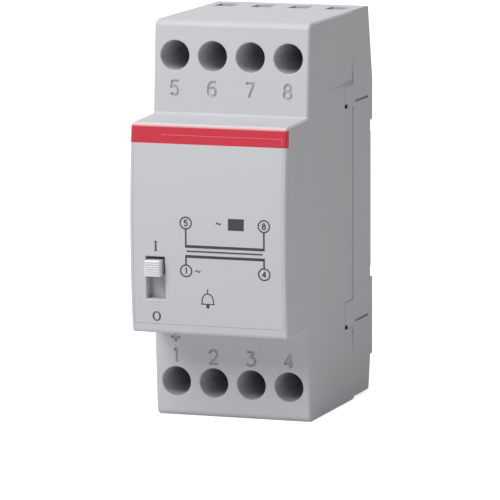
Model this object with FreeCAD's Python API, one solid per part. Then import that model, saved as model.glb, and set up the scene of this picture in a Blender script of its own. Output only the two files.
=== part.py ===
import FreeCAD, Part
import math
import os

# Bell transformer for a 35 mm rail, in millimetres.
# x runs across the width, y from the front (negative) to the rail, z up.
# y = 0 is the rail's front face and z = 0 is the rail's centre line.

# Case, to the sizes of modular rail devices
MODULE_WIDTH = 17.5
MODULES = 2
CASE_HEIGHT = 86.0
NOSE_HEIGHT = 45.0
NOSE_RISE = 13.8
NOSE_BOW = 1.2
SHOULDER_DEPTH = 44.2
SHOULDER_FALL = 1.3
SEAM_DEPTH = 12.4
FRONT_WALL = 1.8
SIDE_WALL = 1.5
TERMINAL_SIDE_WALL = 1.2
END_WALL = 2.0
SIDE_EDGE_BREAK = 0.35
NOSE_EDGE_ROUND = 0.8
NOSE_FOOT_ROUND = 0.4
END_EDGE_ROUND = 1.5

# Rear base
BASE_FOOT_STEP = 0.6
BASE_SIDE_STEP = 0.2
BASE_FLOOR = 2.0
BACK_DEPTH = 1.2
BACK_BEVEL_LENGTH = 16.5
BACK_BEVEL_SLOPE = 0.19
HEEL_LENGTH = 8.2
HEEL_STEP = 1.5
HEEL_SLOPE = 0.17
BACK_EDGE_ROUND = 0.8
RAIL_SLOT_ROUND = 0.5
CORE_BACK_GAP = 4.0

# Rail and its seat
RAIL_HEIGHT = 35.0
RAIL_LIP_THICKNESS = 1.0
SEAT_MARGIN = 2.5
SEAT_RELIEF = 0.3
HOOK_REACH = 1.3
HOOK_THICKNESS = 1.6
HOOK_WIDTH = 6.0
HOOK_SPACING = 18.0
HOOK_LENGTH = 5.0
HOOK_LEAD_IN = 0.7
RAIL_CLEARANCE = 0.1

# Terminals
TERMINALS_PER_END = 4
TERMINAL_ROW_MARGIN = 0.42
TERMINAL_INSET = 7.6
DIVIDER = 1.0
INNER_WALL = 1.2
DRIVER_HOLE_SPACING = 2.04
TUBE_WALL = 1.1
TUBE_WALL_GAP = 0.55
LIP_STEP = 0.55
LIP_LENGTH = 0.8
WIRE_ENTRY_WIDTH = 4.4
WIRE_ENTRY_DEPTH = 5.3

# Clamp screw, clamp cage and tongue
SCREW_HEAD_GAP = 0.35
SCREW_HEAD_LENGTH = 2.4
SCREW_SLOT_WIDTH = 0.9
SCREW_SLOT_DEPTH = 1.2
SCREW_CLEARANCE = 0.05
SCREW_EDGE = 0.25
CAGE_TRAVEL = 3.6
CAGE_ROOM_GAP = 0.67
CAGE_SIDE = 0.8
CAGE_NUT = 2.0
CAGE_BAR = 1.6
CAGE_SCREW_WALL = 0.7
CAGE_OPENING = 5.4
CAGE_CORNER = 0.5
TONGUE_THICKNESS = 1.0
TONGUE_ABOVE_SEAM = 0.6
TONGUE_PAST_CAGE = 0.4
TONGUE_TAG = 2.8
NUT_TO_TONGUE = 1.6
MOVING_CLEARANCE = 0.3

# Front band and printed film
BAND_HEIGHT = 4.2
BAND_REBATE = 1.1
FILM_THICKNESS = 0.2
FILM_SIDE_MARGIN = 0.8
FILM_BOTTOM_MARGIN = 2.05
FILM_GAP = 0.05
FILM_SLOT_MARGIN = 0.3

# Slide switch
SLOT_SIDE_INSET = 5.7
SLOT_BOTTOM_INSET = 12.0
SLOT_WIDTH = 4.3
SLOT_HEIGHT = 9.2
SLOT_CHAMFER = 0.15
BUTTON_WIDTH = 3.4
BUTTON_HEIGHT = 3.4
BUTTON_RISE = 3.2
BUTTON_END_GAP = 0.65
BUTTON_RIBS = 7
BUTTON_GROOVE_WIDTH = 0.18
BUTTON_GROOVE_DEPTH = 0.3
BUTTON_EDGE = 0.2
SLIDER_PLATE = 1.0
SLIDER_PLATE_WIDTH = 6.0
SLIDER_OVERLAP = 0.5
SLIDER_CLEARANCE = 0.15
GUIDE_WIDTH = 0.8
SWITCH_BODY_WALL = 0.8
SWITCH_BODY_FLOOR = 2.1
SWITCH_BODY_HOLLOW = 3.3
CONTACT_THICKNESS = 0.4
CONTACT_WIDTH = 0.9
CONTACT_SPREAD = 2.6
CONTACT_LENGTHS = (13.0, 6.6)
CONTACT_TAG_LENGTH = 5.0
CONTACT_TAG_HEIGHT = 1.6
BRIDGE_WIDTH = 3.8
BRIDGE_HEIGHT = 2.4
BRIDGE_SHEET = 0.4

# Core and coil
COIL_BUILD = 6.0
STRAP_ROOF_GAP = 0.6
BOBBIN_WALL = 0.8
BOBBIN_FLANGE = 1.0
BOBBIN_CORE_GAP = 0.15
BOBBIN_SIDE_GAP = 0.4
BOBBIN_WINDOW_GAP = 0.2
BOBBIN_END_GAP = 0.1
PRIMARY_SHARE = 0.5
WINDING_EDGE_GAP = 0.6
WINDING_CORNER = 2.2
TAPE_THICKNESS = 0.25
STRAP_THICKNESS = 0.8
STRAP_WIDTH = 10.0
STRAP_HOOK = 5.0
CORE_REST = 2.6
CORE_STOP = 1.8
CORE_STOP_SEAT = 2.9
CUTOUT_WIDTH = 5.0
CUTOUT_HEIGHT = 3.4
CUTOUT_LENGTH = 7.6

# Inner leads
LEAD_RADIUS = 0.6
LEAD_RUN_OUT = 3.2

# Rail clip
CLIP_WIDTH = 10.0
CLIP_FLANGE_WIDTH = 12.0
CLIP_FLANGE = 1.0
CLIP_PLATE = 1.5
CLIP_FRONT_DEPTH = 3.1
CLIP_GAP = 0.2
CLIP_NECK_HEIGHT = 3.2
CLIP_END_RECESS = 0.6
CLIP_RAIL_GAP = 0.4
CLIP_WINDOW_WIDTH = 3.6
CLIP_WINDOW_INSET = 2.9
CLIP_SLOT_WEB = 1.7
CLIP_SLOT_HEIGHT = 1.5
CLIP_SLOT_WIDTH = 5.0
CLIP_SLOT_EDGE = 1.4
CLIP_POCKET_WALL = 1.4
SPRING_PEG_LENGTH = 2.0
SPRING_PEG_GAP = 0.4
SPRING_RADIUS = 1.1
SPRING_WIRE_RADIUS = 0.25
SPRING_TURNS = 4
SPRING_SEAT_GAP = 0.05

# Snap tongues and their windows
SNAP_UPPER_INSET = 2.35
SNAP_UPPER_HEIGHT = 4.95
SNAP_LOWER_INSET = 2.7
SNAP_LOWER_HEIGHT = 6.0
SNAP_REACH = 6.6
SNAP_TIP_GAP = 0.3
SNAP_SIDE_GAP = 0.1
SNAP_TIP_THICKNESS = 0.45
SNAP_TAPER = 4.5
SNAP_HOLE_LENGTH = 1.6
SNAP_HOLE_HEIGHT = 0.8
SNAP_HOLE_UNDERCUT = 2.6
SNAP_PANEL_START = 2.1
SNAP_PANEL_BEVEL = 0.45
SNAP_GROOVE_OFFSET = 0.75
SNAP_GROOVE = 0.55
SNAP_GROOVE_INSET = 0.8
SNAP_GROOVE_DEPTH = 0.6
SIDE_RAMP_LENGTH = 6.9
SIDE_RAMP_FALL = 0.35
DENT_INSET = 2.1
DENT_LENGTH = 17.9
DENT_RISE = 7.8
DENT_FALL = 0.5

# Sizes that follow
HALF_WIDTH = MODULES * MODULE_WIDTH / 2
HALF_HEIGHT = CASE_HEIGHT / 2
HALF_NOSE = NOSE_HEIGHT / 2
HALF_RAIL = RAIL_HEIGHT / 2
NOSE_DEPTH = SHOULDER_DEPTH + NOSE_RISE
BAND_REBATE_DEPTH = NOSE_DEPTH - BAND_REBATE
TERMINAL_PITCH = (2 * HALF_WIDTH - 2 * TERMINAL_ROW_MARGIN) / TERMINALS_PER_END
DRIVER_HOLE_RADIUS = (TERMINAL_PITCH - DRIVER_HOLE_SPACING) / 2
LIP_RADIUS = DRIVER_HOLE_RADIUS - LIP_STEP
SCREW_HEAD_RADIUS = DRIVER_HOLE_RADIUS - SCREW_HEAD_GAP
CAGE_WIDTH = TERMINAL_PITCH - DIVIDER - 2 * CAGE_ROOM_GAP
TONGUE_WIDTH = CAGE_WIDTH - 2 * CAGE_SIDE - 2 * MOVING_CLEARANCE
SCREW_RADIUS = TONGUE_WIDTH / 2 - SCREW_EDGE
CAGE_HEIGHT = 2 * (SCREW_RADIUS + SCREW_CLEARANCE + CAGE_SCREW_WALL)
TERMINAL_HEIGHT = HALF_HEIGHT - TERMINAL_INSET
INNER_HALF_WIDTH = HALF_WIDTH - SIDE_WALL
TERMINAL_HALF_WIDTH = HALF_WIDTH - TERMINAL_SIDE_WALL
TERMINAL_ROOM_END = HALF_HEIGHT - END_WALL
TERMINAL_ROOM_START = TERMINAL_HEIGHT - DRIVER_HOLE_RADIUS - TUBE_WALL - TUBE_WALL_GAP
INNER_WALL_HEIGHT = TERMINAL_ROOM_START - INNER_WALL
BACK_BEVEL_START = HALF_HEIGHT - BACK_BEVEL_LENGTH
HEEL_START = HALF_HEIGHT - HEEL_LENGTH
INNER_HALF_NOSE = HALF_NOSE - FRONT_WALL
NOSE_INNER_DEPTH = NOSE_DEPTH - FRONT_WALL
SHOULDER_END_DEPTH = SHOULDER_DEPTH - SHOULDER_FALL
SHOULDER_INNER_DEPTH = SHOULDER_DEPTH - FRONT_WALL
TERMINAL_INNER_DEPTH = SHOULDER_END_DEPTH - FRONT_WALL
BASE_BOTTOM = -(HALF_HEIGHT - BASE_FOOT_STEP)
BASE_HALF_WIDTH = HALF_WIDTH - BASE_SIDE_STEP
MARGIN = 5.0
SHARED = 0.2

TERMINAL_XS = [
    (index - (TERMINALS_PER_END - 1) / 2) * TERMINAL_PITCH for index in range(TERMINALS_PER_END)
]
FITTED_TERMINALS = {
    "1": (TERMINAL_XS[0], -1),
    "4": (TERMINAL_XS[-1], -1),
    "5": (TERMINAL_XS[0], 1),
    "8": (TERMINAL_XS[-1], 1),
}

TONGUE_REAR_DEPTH = SEAM_DEPTH + TONGUE_ABOVE_SEAM
TONGUE_FRONT_DEPTH = TONGUE_REAR_DEPTH + TONGUE_THICKNESS
CAGE_REAR_BAR_DEPTH = TONGUE_REAR_DEPTH - CAGE_OPENING
TERMINAL_FLOOR_DEPTH = CAGE_REAR_BAR_DEPTH - CAGE_BAR - MOVING_CLEARANCE
CAGE_NUT_REAR_DEPTH = TONGUE_FRONT_DEPTH + NUT_TO_TONGUE
CAGE_FRONT_DEPTH = CAGE_NUT_REAR_DEPTH + CAGE_NUT
TUBE_END_DEPTH = CAGE_FRONT_DEPTH + CAGE_TRAVEL + MOVING_CLEARANCE
SCREW_HEAD_REAR_DEPTH = TUBE_END_DEPTH + SCREW_CLEARANCE
SCREW_HEAD_FRONT_DEPTH = SCREW_HEAD_REAR_DEPTH + SCREW_HEAD_LENGTH
LIP_REAR_DEPTH = SCREW_HEAD_FRONT_DEPTH + MOVING_CLEARANCE
SCREW_TIP_DEPTH = TONGUE_FRONT_DEPTH + SCREW_CLEARANCE

CORE_FRONT_DEPTH = SHOULDER_INNER_DEPTH - STRAP_ROOF_GAP - STRAP_THICKNESS
CORE_REAR_DEPTH = BASE_FLOOR + CORE_BACK_GAP
SHEET_LIMB = (CORE_FRONT_DEPTH - CORE_REAR_DEPTH) / 5
CORE_HEIGHT = 6 * SHEET_LIMB
E_REAR_DEPTH = CORE_REAR_DEPTH + SHEET_LIMB
WINDOW_FRONT_DEPTH = CORE_FRONT_DEPTH - SHEET_LIMB
BOBBIN_HALF_WIDTH = INNER_HALF_WIDTH - BOBBIN_SIDE_GAP
WINDING_HALF_WIDTH = BOBBIN_HALF_WIDTH - WINDING_EDGE_GAP
HALF_STACK = WINDING_HALF_WIDTH - COIL_BUILD
STACK_THICKNESS = 2 * HALF_STACK
BOBBIN_HALF_HEIGHT = 2 * SHEET_LIMB - BOBBIN_WINDOW_GAP
BOBBIN_FRONT_DEPTH = WINDOW_FRONT_DEPTH - BOBBIN_END_GAP
BOBBIN_REAR_DEPTH = E_REAR_DEPTH + BOBBIN_END_GAP
BOBBIN_TUBE_HALF_WIDTH = HALF_STACK + BOBBIN_CORE_GAP + BOBBIN_WALL
BOBBIN_TUBE_HALF_HEIGHT = SHEET_LIMB + BOBBIN_CORE_GAP + BOBBIN_WALL
WINDING_ROOM = BOBBIN_FRONT_DEPTH - BOBBIN_REAR_DEPTH - 3 * BOBBIN_FLANGE
MIDDLE_FLANGE_FRONT_DEPTH = BOBBIN_FRONT_DEPTH - BOBBIN_FLANGE - PRIMARY_SHARE * WINDING_ROOM
WINDING_HALF_HEIGHT = BOBBIN_HALF_HEIGHT - WINDING_EDGE_GAP
PRIMARY_SPAN = (BOBBIN_FRONT_DEPTH - BOBBIN_FLANGE, MIDDLE_FLANGE_FRONT_DEPTH)
SECONDARY_SPAN = (MIDDLE_FLANGE_FRONT_DEPTH - BOBBIN_FLANGE, BOBBIN_REAR_DEPTH + BOBBIN_FLANGE)
COIL_SIDE_X = (HALF_STACK + WINDING_HALF_WIDTH) / 2 + SHARED

SLOT_CENTRE_X = -HALF_WIDTH + SLOT_SIDE_INSET
SLOT_CENTRE_Z = -HALF_NOSE + SLOT_BOTTOM_INSET
BUTTON_FRONT_DEPTH = NOSE_DEPTH + BUTTON_RISE
BUTTON_TOP = SLOT_CENTRE_Z + SLOT_HEIGHT / 2 - BUTTON_END_GAP
BUTTON_BOTTOM = BUTTON_TOP - BUTTON_HEIGHT
BUTTON_TRAVEL = SLOT_HEIGHT - BUTTON_HEIGHT - 2 * BUTTON_END_GAP
SLIDER_TOP = SLOT_CENTRE_Z + SLOT_HEIGHT / 2 + SLIDER_OVERLAP + BUTTON_TRAVEL
SLIDER_BOTTOM = SLOT_CENTRE_Z - SLOT_HEIGHT / 2 - SLIDER_OVERLAP
SLIDER_FRONT_DEPTH = NOSE_INNER_DEPTH - SLIDER_CLEARANCE
SLIDER_REAR_DEPTH = SLIDER_FRONT_DEPTH - SLIDER_PLATE
SWITCH_FRONT_DEPTH = SLIDER_REAR_DEPTH - SLIDER_CLEARANCE
SWITCH_HALF_WIDTH = SLIDER_PLATE_WIDTH / 2 + SLIDER_CLEARANCE + GUIDE_WIDTH
SWITCH_TOP = SLIDER_TOP + SLIDER_CLEARANCE
SWITCH_BOTTOM = SLIDER_BOTTOM - BUTTON_TRAVEL - SLIDER_CLEARANCE
SWITCH_FLOOR_DEPTH = SWITCH_FRONT_DEPTH - SWITCH_BODY_HOLLOW
SWITCH_REAR_DEPTH = SWITCH_FLOOR_DEPTH - SWITCH_BODY_FLOOR
CONTACT_TOP = SWITCH_TOP - SWITCH_BODY_WALL - SLIDER_CLEARANCE
CONTACT_XS = (SLOT_CENTRE_X - CONTACT_SPREAD / 2, SLOT_CENTRE_X + CONTACT_SPREAD / 2)
CONTACT_TAG_ZS = [CONTACT_TOP - length + CONTACT_TAG_HEIGHT / 2 for length in CONTACT_LENGTHS]
CONTACT_TAG_END_DEPTH = SWITCH_FLOOR_DEPTH - CONTACT_TAG_LENGTH
BRIDGE_TOP = BUTTON_TOP + BRIDGE_HEIGHT / 2

JAW_TOP = -(HALF_RAIL - HOOK_REACH)
CLIP_NECK_TOP = -(HALF_RAIL + CLIP_RAIL_GAP)
HOOK_FRONT = RAIL_LIP_THICKNESS + RAIL_CLEARANCE
HOOK_REAR = HOOK_FRONT + HOOK_THICKNESS
CLIP_BOTTOM = BASE_BOTTOM + CLIP_END_RECESS
CLIP_SLOT_TOP = CLIP_BOTTOM + CLIP_SLOT_EDGE + CLIP_SLOT_HEIGHT
CLIP_WINDOW_TOP = CLIP_NECK_TOP - CLIP_NECK_HEIGHT - CLIP_WINDOW_INSET
CLIP_WINDOW_BOTTOM = CLIP_SLOT_TOP + CLIP_SLOT_WEB
CHANNEL_FLOOR_DEPTH = CLIP_FRONT_DEPTH + CLIP_GAP
PEG_TOP = CLIP_WINDOW_BOTTOM + SPRING_PEG_GAP + SPRING_PEG_LENGTH
SPRING_TOP = CLIP_WINDOW_TOP - SPRING_SEAT_GAP
SPRING_BOTTOM = PEG_TOP + SPRING_SEAT_GAP
SPRING_DEPTH = CLIP_FRONT_DEPTH - SPRING_RADIUS - SPRING_WIRE_RADIUS

SNAP_WINDOW_DEPTH = SEAM_DEPTH + SNAP_REACH
SNAP_TOP = INNER_WALL_HEIGHT - SNAP_UPPER_INSET
SNAP_BOTTOM = -INNER_WALL_HEIGHT + SNAP_LOWER_INSET
SNAP_RANGES = {
    1: (SNAP_TOP - SNAP_UPPER_HEIGHT, SNAP_TOP),
    -1: (SNAP_BOTTOM, SNAP_BOTTOM + SNAP_LOWER_HEIGHT),
}


def vector(x, y, z):
    """A point or direction."""
    return FreeCAD.Vector(x, y, z)


def block(x_range, y_range, z_range):
    """A box between the lower and upper value on each axis."""
    corner = vector(min(x_range), min(y_range), min(z_range))
    return Part.makeBox(
        abs(x_range[1] - x_range[0]),
        abs(y_range[1] - y_range[0]),
        abs(z_range[1] - z_range[0]),
        corner,
    )


def centred(middle, size):
    """The range of a given size about its middle."""
    return (middle - size / 2, middle + size / 2)


def rod(radius, x, z, front_depth, rear_depth):
    """A round bar or hole along y."""
    length = front_depth - rear_depth
    return Part.makeCylinder(radius, length, vector(x, -front_depth, z), vector(0, 1, 0))


def side_outline(points, half_width):
    """A closed outline in the side view, given as y and z, pulled across the width."""
    corners = [vector(-half_width, y, z) for y, z in points]
    wire = Part.makePolygon(corners + corners[:1])
    return Part.Face(wire).extrude(vector(2 * half_width, 0, 0))


def edges_across(shape, places):
    """The edges that run across the width at the given y and z places."""
    found = []
    for edge in shape.Edges:
        first = edge.Vertexes[0].Point
        last = edge.Vertexes[-1].Point
        for y, z in places:
            near_first = abs(first.y - y) + abs(first.z - z) < SHARED
            near_last = abs(last.y - y) + abs(last.z - z) < SHARED
            if near_first and near_last and abs(first.x - last.x) > 1:
                found.append(edge)
    return found


def mirrored_places(places):
    """Side-view places with their mirror images below the rail's centre line."""
    return places + [(y, -z) for y, z in places]


def case_front_blank():
    """The outside of the front shell: bowed nose, sloping shoulders and eased edges."""
    upper = [
        (-SEAM_DEPTH, HALF_HEIGHT),
        (-SHOULDER_END_DEPTH, HALF_HEIGHT),
        (-SHOULDER_DEPTH, HALF_NOSE),
        (-NOSE_DEPTH, HALF_NOSE),
    ]
    lower = [(y, -z) for y, z in reversed(upper)]
    top = [vector(-HALF_WIDTH, y, z) for y, z in upper]
    bottom = [vector(-HALF_WIDTH, y, z) for y, z in lower]
    bow = Part.Arc(top[-1], vector(-HALF_WIDTH, -NOSE_DEPTH - NOSE_BOW, 0), bottom[0])
    wire = Part.Wire(
        Part.makePolygon(top).Edges
        + [bow.toShape()]
        + Part.makePolygon(bottom).Edges
        + [Part.makeLine(bottom[-1], top[0])]
    )
    blank = Part.Face(wire).extrude(vector(2 * HALF_WIDTH, 0, 0))
    roundings = (
        (END_EDGE_ROUND, (-SHOULDER_END_DEPTH, HALF_HEIGHT)),
        (NOSE_FOOT_ROUND, (-SHOULDER_DEPTH, HALF_NOSE)),
        (NOSE_EDGE_ROUND, (-NOSE_DEPTH, HALF_NOSE)),
    )
    for radius, place in roundings:
        blank = blank.makeFillet(radius, edges_across(blank, mirrored_places([place])))
    side_edges = [
        edge for edge in blank.Edges
        if edge.BoundBox.XLength < SHARED and edge.BoundBox.YMin < -SEAM_DEPTH - SHARED
    ]
    return blank.makeChamfer(SIDE_EDGE_BREAK, side_edges)


def case_front_hollow():
    """The room for the transformer behind the nose and the shoulders."""
    points = [
        (-SEAM_DEPTH + MARGIN, INNER_WALL_HEIGHT),
        (-SHOULDER_INNER_DEPTH, INNER_WALL_HEIGHT),
        (-SHOULDER_INNER_DEPTH, INNER_HALF_NOSE),
        (-NOSE_INNER_DEPTH, INNER_HALF_NOSE),
    ]
    points += [(y, -z) for y, z in reversed(points)]
    return side_outline(points, INNER_HALF_WIDTH)


def terminal_dividers(end):
    """The walls between neighbouring terminals at one end, down to the seam."""
    walls = []
    for index in range(TERMINALS_PER_END - 1):
        x = (TERMINAL_XS[index] + TERMINAL_XS[index + 1]) / 2
        walls.append(block(
            centred(x, DIVIDER),
            (-SHOULDER_DEPTH, -SEAM_DEPTH),
            (end * (TERMINAL_ROOM_START - SHARED), end * (TERMINAL_ROOM_END + SHARED)),
        ))
    return walls


def front_terminal_rooms(end):
    """The hollow round the four screwdriver tubes, with the tubes left standing."""
    room = block(
        (-TERMINAL_HALF_WIDTH, TERMINAL_HALF_WIDTH),
        (-TERMINAL_INNER_DEPTH, -SEAM_DEPTH + SHARED),
        (end * TERMINAL_ROOM_START, end * TERMINAL_ROOM_END),
    )
    tubes = [
        rod(DRIVER_HOLE_RADIUS + TUBE_WALL, x, end * TERMINAL_HEIGHT, SHOULDER_DEPTH, TUBE_END_DEPTH)
        for x in TERMINAL_XS
    ]
    return room.cut(tubes + terminal_dividers(end))


def driver_hole(x, end):
    """One stepped screwdriver hole: open bore, lip and screw head pocket."""
    z = end * TERMINAL_HEIGHT
    lip_front = LIP_REAR_DEPTH + LIP_LENGTH
    mouth = rod(DRIVER_HOLE_RADIUS, x, z, SHOULDER_DEPTH + MARGIN, lip_front)
    lip = rod(LIP_RADIUS, x, z, lip_front + SHARED, LIP_REAR_DEPTH - SHARED)
    pocket = rod(DRIVER_HOLE_RADIUS, x, z, LIP_REAR_DEPTH, TUBE_END_DEPTH - SHARED)
    return mouth.fuse([lip, pocket])


def tongue_slot(x, end):
    """The slot in the inner wall that a tongue passes through, open at the seam."""
    return block(
        centred(x, TONGUE_WIDTH),
        (-TONGUE_FRONT_DEPTH, -SEAM_DEPTH + MARGIN),
        (end * (INNER_WALL_HEIGHT - SHARED), end * (TERMINAL_ROOM_START + SHARED)),
    )


def switch_slot(margin):
    """The opening in the nose for the switch button."""
    return block(
        centred(SLOT_CENTRE_X, SLOT_WIDTH + 2 * margin),
        (-NOSE_DEPTH - MARGIN, -NOSE_INNER_DEPTH + SHARED),
        centred(SLOT_CENTRE_Z, SLOT_HEIGHT + 2 * margin),
    )


def film_blank(gap):
    """The printed film's curved sheet, grown by a gap along its outer edges."""
    outside = case_front_blank()
    inside = outside.translated(vector(0, FILM_THICKNESS, 0))
    half_width = HALF_WIDTH - FILM_SIDE_MARGIN + gap
    bottom = -HALF_NOSE + FILM_BOTTOM_MARGIN - gap
    top = HALF_NOSE - BAND_HEIGHT
    area = block((-half_width, half_width), (-NOSE_DEPTH - MARGIN, -SHOULDER_DEPTH), (bottom, top))
    return outside.common(area).cut(inside).cut(switch_slot(FILM_SLOT_MARGIN))


def band_area():
    """The corner of the nose that the red band fills."""
    return block(
        (-HALF_WIDTH - MARGIN, HALF_WIDTH + MARGIN),
        (-NOSE_DEPTH - MARGIN, -BAND_REBATE_DEPTH),
        (HALF_NOSE - BAND_HEIGHT, HALF_NOSE + MARGIN),
    )


def snap_window(end, side):
    """The window in the shell's side wall that a snap tongue fills."""
    return block(
        (side * (INNER_HALF_WIDTH - SHARED), side * (HALF_WIDTH + SHARED)),
        (-SNAP_WINDOW_DEPTH, -SEAM_DEPTH + MARGIN),
        SNAP_RANGES[end],
    )


def side_ramp(side):
    """The shallow ramp that falls to the seam between the two windows of one side."""
    bottom = SNAP_RANGES[-1][1]
    seam_y = -SEAM_DEPTH + SHARED
    front_y = -SEAM_DEPTH - SIDE_RAMP_LENGTH
    corners = [
        vector(side * HALF_WIDTH, front_y, bottom),
        vector(side * (HALF_WIDTH + SHARED), front_y, bottom),
        vector(side * (HALF_WIDTH + SHARED), seam_y, bottom),
        vector(side * (HALF_WIDTH - SIDE_RAMP_FALL), seam_y, bottom),
    ]
    outline = Part.makePolygon(corners + corners[:1])
    return Part.Face(outline).extrude(vector(0, 0, SNAP_RANGES[1][0] - bottom))


def end_dent(end, side):
    """The three-cornered dent past a window, deepest beside it at the seam."""
    seam_y = -SEAM_DEPTH + SHARED
    start = INNER_WALL_HEIGHT - DENT_INSET
    outer = []
    inner = []
    for y, z, fall in (
        (-SEAM_DEPTH - DENT_LENGTH, start, 0),
        (seam_y, start, DENT_FALL),
        (seam_y, start + DENT_RISE, 0),
    ):
        outer.append(vector(side * (HALF_WIDTH + SHARED), y, end * z))
        inner.append(vector(side * (HALF_WIDTH - fall), y, end * z))
    outlines = [Part.makePolygon(corners + corners[:1]) for corners in (outer, inner)]
    return Part.makeLoft(outlines, True, True)


def switch_guides():
    """Two ribs behind the nose that guide the slider and carry the switch body."""
    offset = SLIDER_PLATE_WIDTH / 2 + SLIDER_CLEARANCE + GUIDE_WIDTH / 2
    return [
        block(
            centred(SLOT_CENTRE_X + side * offset, GUIDE_WIDTH),
            (-NOSE_INNER_DEPTH - SHARED, -SWITCH_FRONT_DEPTH),
            (SWITCH_BOTTOM, SWITCH_TOP),
        )
        for side in (-1, 1)
    ]


def switch_room():
    """The room that the switch body needs behind its guides."""
    return block(
        centred(SLOT_CENTRE_X, 2 * (SWITCH_HALF_WIDTH + SLIDER_CLEARANCE)),
        (-SWITCH_FRONT_DEPTH - SHARED, -SWITCH_REAR_DEPTH + SLIDER_CLEARANCE),
        (SWITCH_BOTTOM - SLIDER_CLEARANCE, SWITCH_TOP + SLIDER_CLEARANCE),
    )


def core_stops():
    """Ribs behind the nose's top and bottom walls that the core's front leans on."""
    ribs = []
    offset = STRAP_WIDTH / 2 + STRAP_THICKNESS + CORE_STOP / 2
    for side in (-1, 1):
        for end in (-1, 1):
            ribs.append(block(
                centred(side * offset, CORE_STOP),
                (-NOSE_INNER_DEPTH - SHARED, -CORE_FRONT_DEPTH),
                (end * (CORE_HEIGHT / 2 - CORE_STOP_SEAT), end * (INNER_HALF_NOSE + SHARED)),
            ))
    return [rib.cut(switch_room()) for rib in ribs]


def chamfered_slot(shell):
    """Breaks the outer edge of the switch slot."""
    slot = switch_slot(SHARED).BoundBox
    slot_edges = [
        edge for edge in shell.Edges
        if edge.BoundBox.YMax < -NOSE_DEPTH and slot.isInside(edge.BoundBox.Center)
    ]
    return shell.makeChamfer(SLOT_CHAMFER, slot_edges)


def front_shell():
    """The moulded front half of the case."""
    shell = case_front_blank()
    hollows = [case_front_hollow(), band_area(), film_blank(FILM_GAP), switch_slot(0)]
    for end in (-1, 1):
        hollows.append(front_terminal_rooms(end))
        hollows += [driver_hole(x, end) for x in TERMINAL_XS]
        for side in (-1, 1):
            hollows += [snap_window(end, side), end_dent(end, side)]
    hollows += [tongue_slot(x, end) for x, end in FITTED_TERMINALS.values()]
    hollows += [side_ramp(side) for side in (-1, 1)]
    for hollow in hollows:
        shell = shell.cut(hollow)
    shell = shell.fuse(switch_guides() + core_stops()).removeSplitter()
    return chamfered_slot(shell)


def back_depth_at(z):
    """How far back the base's rear face lies above or below the rail."""
    if z > 0:
        return BACK_DEPTH - BACK_BEVEL_SLOPE * max(0.0, z - BACK_BEVEL_START)
    return BACK_DEPTH - HEEL_STEP - HEEL_SLOPE * max(0.0, -z - HEEL_START)


def base_blank():
    """The outside of the rear base, with the rail slot and its raised seat."""
    seat = HALF_RAIL - SEAT_MARGIN
    outline = [
        (-SEAM_DEPTH, HALF_HEIGHT),
        (back_depth_at(HALF_HEIGHT), HALF_HEIGHT),
        (BACK_DEPTH, BACK_BEVEL_START),
        (BACK_DEPTH, HALF_RAIL),
        (-SEAT_RELIEF, HALF_RAIL),
        (-SEAT_RELIEF, seat),
        (0, seat),
        (0, -seat),
        (-SEAT_RELIEF, -seat),
        (-SEAT_RELIEF, -HALF_RAIL),
        (BACK_DEPTH, -HALF_RAIL),
        (BACK_DEPTH, -HEEL_START),
        (back_depth_at(-HEEL_START), -HEEL_START),
        (back_depth_at(BASE_BOTTOM), BASE_BOTTOM),
        (-SEAM_DEPTH, BASE_BOTTOM),
    ]
    blank = side_outline(outline, BASE_HALF_WIDTH)
    end_places = [(back_depth_at(HALF_HEIGHT), HALF_HEIGHT), (back_depth_at(BASE_BOTTOM), BASE_BOTTOM)]
    roundings = (
        (BACK_EDGE_ROUND, end_places),
        (RAIL_SLOT_ROUND, mirrored_places([(BACK_DEPTH, HALF_RAIL)])),
    )
    for radius, places in roundings:
        blank = blank.makeFillet(radius, edges_across(blank, places))
    return blank


def base_hollow():
    """The transformer's room in the base, less the thicker back of the clip channel."""
    room = block(
        (-INNER_HALF_WIDTH, INNER_HALF_WIDTH),
        (-SEAM_DEPTH - MARGIN, -BASE_FLOOR),
        (-INNER_WALL_HEIGHT, INNER_WALL_HEIGHT),
    )
    half_boss = CLIP_FLANGE_WIDTH / 2 + CLIP_GAP + CLIP_POCKET_WALL
    boss = block(
        (-half_boss, half_boss),
        (-CHANNEL_FLOOR_DEPTH - CLIP_POCKET_WALL, 0),
        (-INNER_WALL_HEIGHT, -HALF_RAIL + CLIP_POCKET_WALL),
    )
    return room.cut(boss)


def base_terminal_rooms(end):
    """The open tray below the four terminals at one end."""
    return block(
        (-TERMINAL_HALF_WIDTH, TERMINAL_HALF_WIDTH),
        (-SEAM_DEPTH - MARGIN, -TERMINAL_FLOOR_DEPTH),
        (end * TERMINAL_ROOM_START, end * TERMINAL_ROOM_END),
    )


def wire_entry(x, end):
    """The notch in the end wall that a wire goes in through."""
    return block(
        centred(x, WIRE_ENTRY_WIDTH),
        (-SEAM_DEPTH - MARGIN, -SEAM_DEPTH + WIRE_ENTRY_DEPTH),
        (end * (TERMINAL_ROOM_END - SHARED), end * (HALF_HEIGHT + SHARED)),
    )


def tongue_key(x, end):
    """A short rib of the base that closes a tongue's slot and presses on the tongue."""
    return block(
        centred(x, TONGUE_WIDTH - 2 * FILM_GAP),
        (-TONGUE_REAR_DEPTH, -SEAM_DEPTH + SHARED),
        (end * INNER_WALL_HEIGHT, end * TERMINAL_ROOM_START),
    )


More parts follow.
